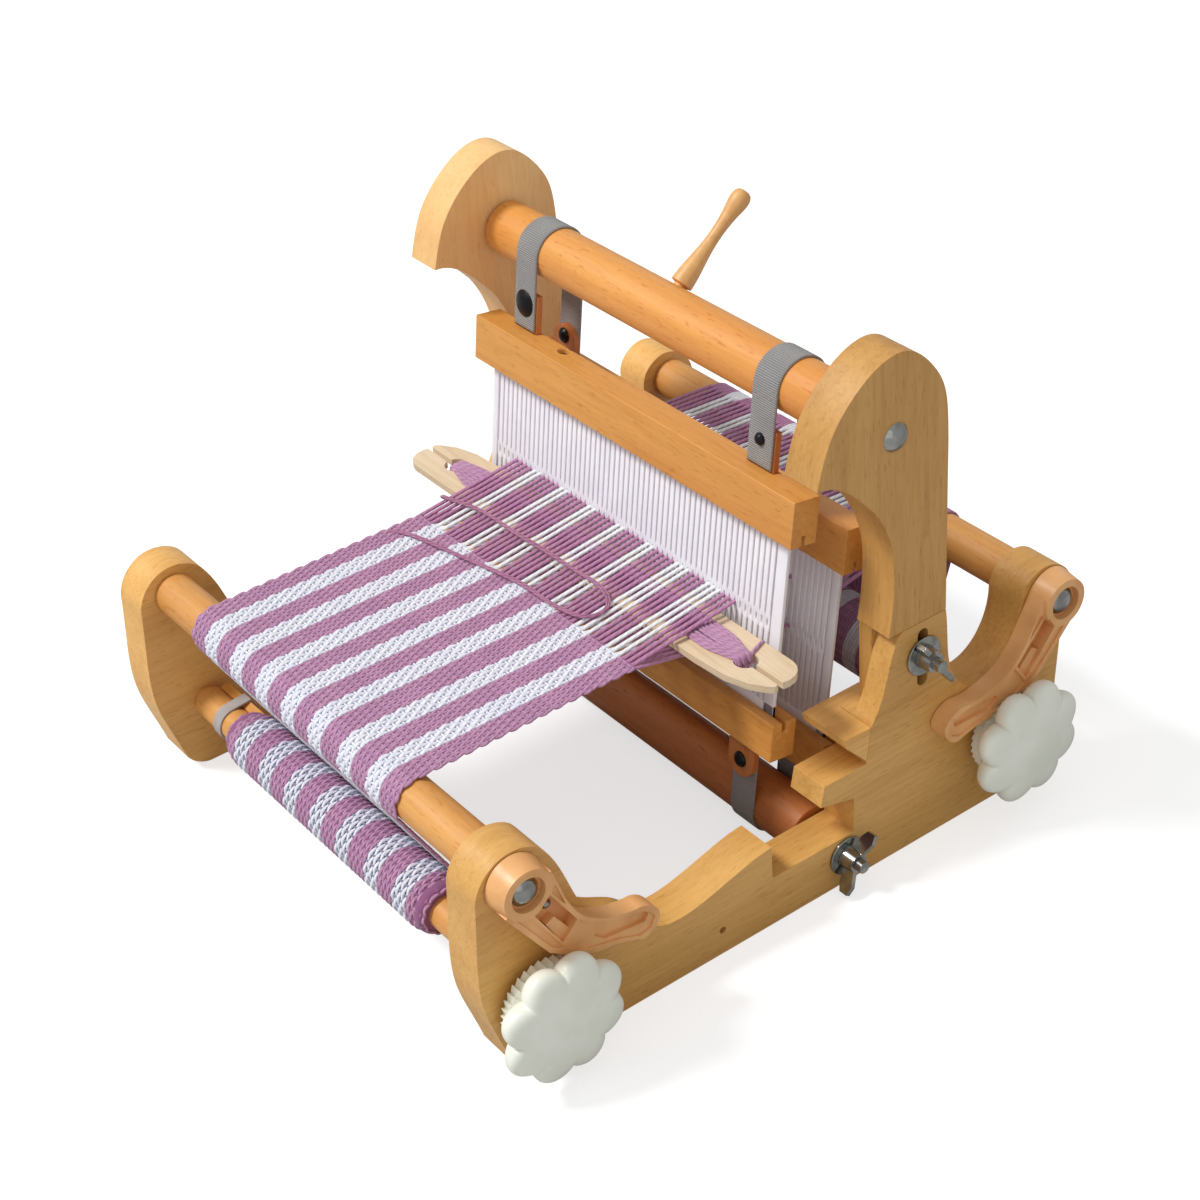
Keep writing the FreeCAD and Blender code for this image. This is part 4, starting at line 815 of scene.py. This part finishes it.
for word, y, z, way in (("cloth", cloth_y, cloth_z, 1), ("warp", warp_y, warp_z, -1)):
    name = word + "_knob"
    piece(name + "_flower", flower(y, z), knob_white, word + "_beam", [name])
    ring = repeated(name + "_ratchet", ratchet_tooth(way), TEETH, tuple(at(0, y, z)), (0.0, 0.0, 0.0),
                    2 * math.pi / TEETH, knob_white)
    piece(name + "_ratchet", ring, knob_white, word + "_beam", [name])
print("knobs made")

# %% [markdown]
# All the yarn comes from one node tree. It takes plain lines whose points carry a thickness and a colour
# mark, lays an oval tube along each, and stores how far along and how far round each point is, so that the
# yarn finish can draw the two twisted plies.

# %% A node tree that turns lines into yarn
spin, spin_sockets, given = geometry_tree("Lines into yarn", (
    ("Geometry", "Geometry"), ("Width", "Float"), ("Thickness", "Float"), ("Sides", "Int"),
    ("Finish", "Material")))


def stored(geometry, name, value):
    inputs = {"Geometry": geometry, "Name": name, "Value": value}
    return node(spin, "GeometryNodeStoreNamedAttribute", inputs, data_type="FLOAT", domain="POINT").outputs[0]


lines = node(spin, "GeometryNodeMeshToCurve", {"Mesh": given["Geometry"]}).outputs[0]
fatness = node(spin, "GeometryNodeInputNamedAttribute", {"Name": "fatness"}, data_type="FLOAT").outputs[0]
lines = node(spin, "GeometryNodeSetCurveRadius", {"Curve": lines, "Radius": fatness}).outputs[0]
run_length = node(spin, "GeometryNodeSplineParameter").outputs["Length"]
lines = stored(lines, "along", run_length)
round_inputs = {"Resolution": given["Sides"], "Radius": 1.0}
profile = node(spin, "GeometryNodeCurvePrimitiveCircle", round_inputs).outputs[0]
turn = maths(spin, "MULTIPLY", node(spin, "GeometryNodeSplineParameter").outputs["Factor"], 4 * math.pi)
profile = stored(profile, "ply_cos", maths(spin, "COSINE", turn))
profile = stored(profile, "ply_sin", maths(spin, "SINE", turn))
half_width, half_height = (maths(spin, "MULTIPLY", given[label], 0.5) for label in ("Width", "Thickness"))
oval = node(spin, "ShaderNodeCombineXYZ", {0: half_width, 1: half_height, 2: 1.0}).outputs[0]
profile = node(spin, "GeometryNodeTransform", {"Geometry": profile, "Scale": oval}).outputs[0]
tube_inputs = {"Curve": lines, "Profile Curve": profile, "Fill Caps": True}
tube = node(spin, "GeometryNodeCurveToMesh", tube_inputs).outputs[0]
tube = node(spin, "GeometryNodeSetShadeSmooth", {"Geometry": tube}).outputs[0]
end_tree(spin, tube, given["Finish"])


def line_mesh(lines, closed=False):
    """Lines of (points, fatness, white) as one mesh of edges. Points are drawing millimetres."""
    points, edges, fat, pale = [], [], [], []
    for route, fatness, white in lines:
        first = len(points)
        points += [at(*p) for p in route]
        fat += list(fatness) if hasattr(fatness, "__len__") else [fatness] * len(route)
        pale += list(white) if hasattr(white, "__len__") else [white] * len(route)
        edges += [(first + k, first + k + 1) for k in range(len(route) - 1)]
        if closed:
            edges.append((len(points) - 1, first))
    mesh = bpy.data.meshes.new("lines")
    mesh.from_pydata(points, edges, [])
    for label, values in (("fatness", fat), ("white", pale)):
        mesh.attributes.new(label, "FLOAT", "POINT").data.foreach_set("value", np.array(values, np.float32))
    return mesh


def yarn_piece(name, lines, size, finish, body, stands_for, sides=8, closed=False):
    """Lines spun into yarn of a width and a thickness, as a piece on its body."""
    width, thickness = size
    mesh = run_tree(spin, spin_sockets, name, mesh=line_mesh(lines, closed), Width=width * MM,
                    Thickness=thickness * MM, Sides=sides, Finish=finish)
    print(name, len(mesh.polygons), "faces")
    return piece(name, mesh, finish, body, [stands_for])


# %% [markdown]
# The weft's own end is a free cord: a doubled strand that comes from under the shuttle, runs back over the
# warp, turns, and lies on the cloth to its left edge. Its line is one smooth NURBS curve. The two strands
# follow points read from that curve, a little apart.

# %% The doubled end of the weft
tail_route = [(-92.0, -51.9, 105.28), (-93.4, -58.2, 105.88), (-93.0, -63.6, 109.69), (-88.8, -66.6, 114.51),
              (-82.0, -66.2, 115.16), (-73.0, -63.0, 115.37), (-58.0, -60.3, 115.21), (-38.0, -60.6, 115.07),
              (-15.0, -59.0, 115.28), (5.0, -59.0, 115.28), (22.0, -57.8, 115.43), (33.0, -59.8, 115.18),
              (39.5, -65.0, 114.51), (40.3, -71.5, 113.78), (36.5, -77.0, 113.48), (28.5, -79.8, 113.52),
              (15.0, -81.2, 113.34), (0.0, -80.6, 113.22), (-19.0, -83.2, 112.7), (-40.0, -87.8, 112.3),
              (-58.0, -91.2, 112.3), (-70.0, -94.0, 112.3), (-78.0, -96.5, 112.2), (-84.5, -98.8, 110.4)]


def smooth_line(route):
    """Points read from a NURBS curve whose control points are the route's."""
    curve = bpy.data.curves.new("tail_line", "CURVE")
    curve.dimensions = "3D"
    curve.resolution_u = 10
    spline = curve.splines.new("NURBS")
    spline.points.add(len(route) - 1)
    for point, (x, y, z) in zip(spline.points, route):
        point.co = (*at(x, y, z), 1)
    spline.order_u = 3
    spline.use_endpoint_u = True
    mesh = evaluated_mesh(put("tail_line", curve), "tail_line")
    return [v.co.copy() for v in mesh.vertices]


tail_points = smooth_line(tail_route)
strands = []
for side in (-1, 1):
    line = []
    for k, p in enumerate(tail_points):
        before, after = tail_points[max(k - 1, 0)], tail_points[min(k + 1, len(tail_points) - 1)]
        sideways = (after - before).cross(Vector((0, 0, 1))).normalized()
        apart = 0.52 + 0.12 * math.sin(k / 5.3)
        q = p + sideways * side * apart * MM
        line.append((q.x / MM + BOX_CENTRE[0], q.y / MM + BOX_CENTRE[1], q.z / MM))
    strands.append((line, 1.0, 0.0))
tail = yarn_piece("weft_tail_strands", strands, (1.2, 1.1), tail_yarn, "sides", "weft_tail")

# %% [markdown]
# The stripes alternate: eight purple stripes of seven ends, one of them with eight, and seven white stripes
# of five. The white yarn is thicker. Every end has a number, and even numbers ride on the front frame.

# %% The order of the ends
PURPLE_PITCH, WHITE_PITCH = 1.6, 2.15
end_list, stripe_limits = [], []
position = 0.0
for stripe in range(15):
    white = stripe % 2
    count = 5 if white else (8 if stripe == 10 else 7)
    pitch = WHITE_PITCH if white else PURPLE_PITCH
    for _ in range(count):
        end_list.append((position + pitch / 2, white))
        position += pitch
    stripe_limits.append(position)
scale = warp_width / position
end_list = [(warp_centre_x - warp_width / 2 + p * scale, w) for p, w in end_list]
stripe_limits = [warp_centre_x - warp_width / 2 + p * scale for p in stripe_limits[:-1]]
print(len(end_list), "ends over", round(position, 1), "mm")

# %% [markdown]
# The cloth is a warp-faced plain weave. It lies level from the last pick, bends over the breast beam and runs
# down and inwards to the back of its roll. Each end is a real tube that rises over one pick and dives under
# the next, and swells where it floats. The weft, in the stripe's own colour, and a thin ground sheet lie
# between the floats, so the cloth is closed and still has its small dots. The ground sheet takes a dim copy
# of the stripe's colour: painted shade in the gaps between the floats.

# %% The woven cloth
PICK = 3.8
WHITE_WAVE, PURPLE_WAVE = 0.5, 0.36
cloth_middle = 110.55
bend_radius = cloth_middle - beam_z
roll_line = 14.95
run_dy, run_dz = cloth_y - breast_y, cloth_z - beam_z
run_distance = math.hypot(run_dy, run_dz)
leave = math.atan2(run_dz, run_dy) - math.acos((bend_radius + roll_line) / run_distance) + 2 * math.pi
level_part = fell_y - breast_y
bend_part = bend_radius * (leave - math.pi / 2)
straight_part = math.sqrt(run_distance ** 2 - (bend_radius + roll_line) ** 2)
wound_part = roll_line * math.radians(48)
cloth_length = level_part + bend_part + straight_part + wound_part


def cloth_point(x, s, lift):
    """A point of the cloth at x, a distance s from the last pick, lifted along the cloth's face."""
    if s < level_part:
        return (x, fell_y - s, cloth_middle + lift)
    if s < level_part + bend_part:
        return about(x, breast_y, beam_z, bend_radius + lift, math.pi / 2 + (s - level_part) / bend_radius)
    t = s - level_part - bend_part
    if t < straight_part:
        _, y, z = about(x, breast_y, beam_z, bend_radius + lift, leave)
        return (x, y - t * math.sin(leave), z + t * math.cos(leave))
    return about(x, cloth_y, cloth_z, roll_line - lift, leave - math.pi - (t - straight_part) / roll_line)


def woven_end(i, x, white, length, point):
    """One end: its route, its fatness and its colour mark, waving over and under the picks."""
    steps = int(length / PICK * 4)
    route, fat = [], []
    height = WHITE_WAVE if white else PURPLE_WAVE
    for k in range(steps + 1):
        s = length * k / steps
        wave = math.cos(math.pi * s / PICK + math.pi * i)
        route.append(point(x, s, height * wave))
        swell = max(wave, 0) if white else abs(wave)
        fat.append((0.66 + 0.52 * swell) if white else (0.86 + 0.22 * swell))
    return route, fat, float(white)


cloth_lines = [woven_end(i, x, w, cloth_length, cloth_point) for i, (x, w) in enumerate(end_list)]
yarns = [yarn_piece("cloth_" + word + "_ends", [line for line in cloth_lines if line[2] == white], size,
                    loom_yarn, "sides", "woven_cloth")
         for word, white, size in (("purple", 0, (1.75, 1.1)), ("white", 1, (2.25, 1.15)))]

left_edge, right_edge = end_list[0][0], end_list[-1][0]


def pale_at(x):
    """1 where x lies in a white stripe, 0 in a purple one."""
    return float(sum(x > limit for limit in stripe_limits) % 2)


weft_route = []
picks = int(cloth_length / PICK)
for pick in range(picks):
    s = PICK * pick
    way = -1 if pick % 2 else 1
    xs = np.linspace(left_edge - 0.4, right_edge + 0.4, 160)[::way]
    weft_route += [cloth_point(x, s, 0.0) for x in xs]
    if pick < picks - 1:
        weft_route += [cloth_point(xs[-1] + way * 0.7 * math.sin(a), s + PICK * (1 - math.cos(a)) / 2, 0.0)
                       for a in np.linspace(0.3, math.pi - 0.3, 6)]
weft_pale = [pale_at(p[0]) for p in weft_route]
yarns.append(yarn_piece("cloth_weft", [(weft_route, 1.0, weft_pale)], (1.3, 1.1), loom_yarn, "sides",
                        "woven_cloth", sides=6))


def ground_sheet(name, columns, rows, half_thick):
    """A thin sheet under the yarn. Its columns end at the stripes, and each face knows its stripe."""
    points = [at(*cloth_point(x, cloth_length * k / rows, lift))
              for k in range(rows + 1) for lift in (-half_thick, half_thick) for x in columns]
    wide = len(columns)
    faces, pale = [], []
    for k in range(rows):
        low, high, below, above = ((2 * k + step) * wide for step in (0, 1, 2, 3))
        for c in range(wide - 1):
            for near, far in ((low, below), (high, above)):
                faces.append((near + c, near + c + 1, far + c + 1, far + c))
                pale.append(float(c % 2))
        for c in (0, wide - 1):
            faces.append((low + c, high + c, above + c, below + c))
            pale.append(0.0)
    for low in (0, 2 * rows * wide):
        for c in range(wide - 1):
            faces.append((low + c, low + c + 1, low + wide + c + 1, low + wide + c))
            pale.append(float(c % 2))
    mesh = plain_mesh(name, points, faces)
    mesh.attributes.new("white", "FLOAT", "FACE").data.foreach_set("value", np.array(pale, np.float32))
    return outward(mesh)


ground_x = (left_edge - 0.5, right_edge + 0.5)
ground_mesh = ground_sheet("cloth_ground", [ground_x[0]] + stripe_limits + [ground_x[1]], 120, 0.15)
# The ground sheet takes the painted shade yarn.
ground = piece("cloth_ground", ground_mesh, painted_shade_yarn, "sides", ["woven_cloth"])
print("cloth length", round(cloth_length, 1))

# %% [markdown]
# On the roll below, the same cloth lies in turns, so its ends run round as closed rings with the same wave.
# On the warp roll at the back the ends are still bare and lie side by side.

# %% The two rolls and the warp over the back beam
ROLL_PICKS = 22
EDGE_SLOPE, EDGE_WIDTH, ROLL_SINK = 0.3, 7.5, 0.35
CLOTH_CORE, CLOTH_CORE_RIM, WARP_CORE, WARP_CORE_RIM = 12.6, 3.2, 16.3, 0.8
WARP_LAYERS = ((16.4, 0.0), (15.9, 0.9))
roll_radius = ROLL_PICKS * PICK / (2 * math.pi)


def ring_point(x, s, lift):
    """A point on the roll. The turns near the cloth's two edges lie lower, as wound cloth does."""
    from_edge = min(x - left_edge, right_edge - x)
    r = roll_radius - ROLL_SINK + lift - EDGE_SLOPE * max(0.0, EDGE_WIDTH - from_edge)
    return about(x, cloth_y, cloth_z, r, s / roll_radius)


ring_lines = []
for i, (x, white) in enumerate(end_list):
    route, fat, pale = woven_end(i, x, white, ROLL_PICKS * PICK, ring_point)
    ring_lines.append((route[:-1], fat[:-1], pale))
yarn_piece("cloth_roll_ends", ring_lines, (1.95, 1.15), loom_yarn, "cloth_beam", "cloth_roll", sides=6,
           closed=True)


def core_mesh(y, z, radius, half_from, half_to, rim, limits=()):
    """A round core under the yarn of a roll. It is cut at the stripes, and each face knows its stripe."""
    shape = bmesh.new()
    bmesh.ops.create_cone(shape, cap_ends=True, segments=64, radius1=radius * MM, radius2=radius * MM,
                          depth=(half_to - half_from) * MM)
    bmesh.ops.rotate(shape, verts=shape.verts, matrix=Matrix.Rotation(math.pi / 2, 3, "Y"))
    bmesh.ops.translate(shape, verts=shape.verts, vec=at((half_from + half_to) / 2, y, z))
    rims = [e for e in shape.edges if e.calc_face_angle(0) > 1]
    bmesh.ops.bevel(shape, geom=rims, offset=rim * MM, segments=4, profile=0.5, affect="EDGES")
    for limit in limits:
        parts = list(shape.verts) + list(shape.edges) + list(shape.faces)
        bmesh.ops.bisect_plane(shape, geom=parts, plane_co=at(limit, y, z), plane_no=(1, 0, 0))
    pale = shape.faces.layers.float.new("white")
    for face in shape.faces:
        face[pale] = pale_at(face.calc_center_median().x / MM + BOX_CENTRE[0]) if limits else 0.0
    return smooth_all(into_mesh(shape, "core"))


warp_left, warp_right = thread_x(0), thread_x(ends - 1)
# The cores and the roll's weft take the painted shade yarn: dim copies of the stripe colours, painted shade
# between the turns.
cloth_core = core_mesh(cloth_y, cloth_z, CLOTH_CORE, left_edge - 0.2, right_edge + 0.2, CLOTH_CORE_RIM,
                       stripe_limits)
piece("cloth_roll_core", cloth_core, painted_shade_yarn, "cloth_beam", ["cloth_roll"])
weft_rows = []
for pick in range(ROLL_PICKS):
    row = [ring_point(x, PICK * pick, 0.0) for x in np.linspace(left_edge - 0.4, right_edge + 0.4, 90)]
    weft_rows.append((row, 1.0, [pale_at(p[0]) for p in row]))
yarn_piece("cloth_roll_weft", weft_rows, (1.3, 1.1), painted_shade_yarn, "cloth_beam", "cloth_roll", sides=6)
warp_core = core_mesh(warp_y, warp_z, WARP_CORE, warp_left - 0.3, warp_right + 0.3, WARP_CORE_RIM)
piece("warp_roll_core", warp_core, painted_shade_yarn, "warp_beam", ["warp_roll"])
warp_rings = []
for i, (_, white) in enumerate(end_list):
    for step, (radius, off) in enumerate(WARP_LAYERS):
        if i == ends - 1 and step:
            continue
        route = [about(thread_x(i) + off, warp_y, warp_z, radius, a) for a in circle(48)]
        warp_rings.append((route, 1.0, float(white)))
yarn_piece("warp_roll_threads", warp_rings, (1.3, 1.2), loom_yarn, "warp_beam", "warp_roll", sides=6,
           closed=True)

thread_middle = 110.15
back_bend = thread_middle - beam_z
warp_line = 17.6
back_dy, back_dz = warp_y - back_y, warp_z - beam_z
back_distance = math.hypot(back_dy, back_dz)
back_leave = math.atan2(back_dz, back_dy) + math.acos((back_bend - warp_line) / back_distance)
back_lines = []
for i, (_, white) in enumerate(end_list):
    x = thread_x(i)
    route = [(x, back_y - 3.0, thread_middle), (x, back_y - 1.5, thread_middle)]
    route += [about(x, back_y, beam_z, back_bend, a) for a in np.linspace(math.pi / 2, back_leave, 14)]
    route += [about(x, warp_y, warp_z, warp_line, a)
              for a in np.linspace(back_leave, back_leave - math.radians(35), 8)]
    back_lines.append((route, 1.0, float(white)))
yarn_piece("warp_over_back_beam", back_lines, (1.7, 1.3), warp_yarn, "sides", "warp_rear")

# %% [markdown]
# In the open shed the even ends rise to the front comb's eyes and the odd ones dip to the rear comb's. Each
# thread is two straight runs that meet in its eye. A run goes from the fixed side to its frame on no body,
# and is drawn a little thinner in the eye, at the cloth and at the back beam.

# %% The open shed
WARP_LEVEL, FIRST_PICK = 110.08, 0.6
NEAR_EYE, NEAR_CLOTH, NEAR_BEAM, PALE_THREAD = 0.64, 0.8, 0.62, 0.92
for word, facing, top, parity, lift in (("upper", -1, front_top, 0, 0.65), ("lower", 1, rear_top, 1, 0.0)):
    eye_along = top - top_bar_height - frame_window / 2 - 1
    eye_y, eye_z = lean_point(facing * bar_centre, eye_along)
    eye_z += 0.28
    rest = WARP_LEVEL + lift
    fore, aft = [], []
    for i, (x, white) in enumerate(end_list):
        if i % 2 != parity:
            continue
        hx = thread_x(i)
        begin, eye, far = (x, fell_y + FIRST_PICK, rest), (hx, eye_y, eye_z), (hx, back_y - 2.5, rest)
        for run, outer, thin in ((fore, begin, NEAR_CLOTH), (aft, far, NEAR_BEAM)):
            shares = np.linspace(0, 1, 17)
            route = [tuple(np.array(outer) * (1 - share) + np.array(eye) * share) for share in shares]
            near_eye = np.clip((shares - 0.86) / 0.12, 0, 1)
            near_end = np.clip(1 - shares / 0.1, 0, 1)
            fat = (1 - (1 - NEAR_EYE) * near_eye) * (1 - (1 - thin) * near_end)
            run.append((route, fat * (PALE_THREAD if white else 1.0), float(white)))
    for end, lines, near, far in (("fore", fore, begin, eye), ("aft", aft, far, eye)):
        node_name = "warp_" + word
        made = yarn_piece(node_name + "_" + end, lines, (2.2, 1.5), warp_yarn, None, node_name)
        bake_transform(made)

# %% [markdown]
# The shuttle is a flat stick. Its yarn is wound lengthwise, over the top and back below, through a round hole
# near each end. Each turn is a closed loop of real yarn. The turns lie in two layers side by side, draw
# together towards the holes and dive into them, and one more turn goes round the rear prong.

# %% The yarn on the shuttle
shuttle_x, shuttle_y, shuttle_foot, shuttle_thick = -2.5, -43.0, 107.59, 3.6
HOLE_X, TURNS = 109.5, 15
PINCHED, DRAWN_OVER, DIVE_OVER, CROWN = 3.7, 19.0, 2.6, 0.6
LAYERS = ((7.4, 0.75), (6.9, 1.3))
loops = []
for k in range(TURNS):
    half_wide, rise = LAYERS[k % 2]
    share = (k / (TURNS - 1)) * 2 - 1
    dive = HOLE_X - 1.6 + 1.0 * (k % 3) / 2 + 0.6 * (k % 2)
    over, under = [], []
    for t in 1 - 2 * np.sin(np.linspace(0, 1, 49) * math.pi / 2) ** 2:
        x = t * dive
        to_end = dive - abs(x)
        ease = min(1.0, to_end / DRAWN_OVER)
        ease = ease * ease * (3 - 2 * ease)
        lateral = share * (PINCHED + (half_wide - PINCHED) * ease)
        lateral += 0.35 * math.sin(2.3 * k + x / 31.0) * ease
        lift = rise + CROWN * (1 - share * share)
        dip = max(0.0, 1 - to_end / DIVE_OVER)
        lift -= (lift + shuttle_thick / 2 - 0.6) * (1 - math.sqrt(1 - dip * dip))
        over.append((shuttle_x + x, shuttle_y + lateral, shuttle_foot + shuttle_thick + lift))
        under.append((shuttle_x + x, shuttle_y + lateral + 0.8 * ease, shuttle_foot - lift))
    loops.append((over + under[::-1], 1.0, 0.0))
edge_loop = []
for a in circle(24):
    c, s = math.cos(a), math.sin(a)
    y = 8.4 + 6.3 * math.copysign(abs(c) ** 0.5, c)
    z = shuttle_thick / 2 + (shuttle_thick / 2 + 0.7) * math.copysign(abs(s) ** 0.5, s)
    edge_loop.append((shuttle_x + HOLE_X - 0.6 - 0.4 * (y - 2), shuttle_y + y, shuttle_foot + z))
loops.append((edge_loop, 1.15, 0.0))
yarn_piece("shuttle_winding", loops, (1.65, 1.45), loom_yarn, "shuttle", "shuttle_yarn", closed=True)
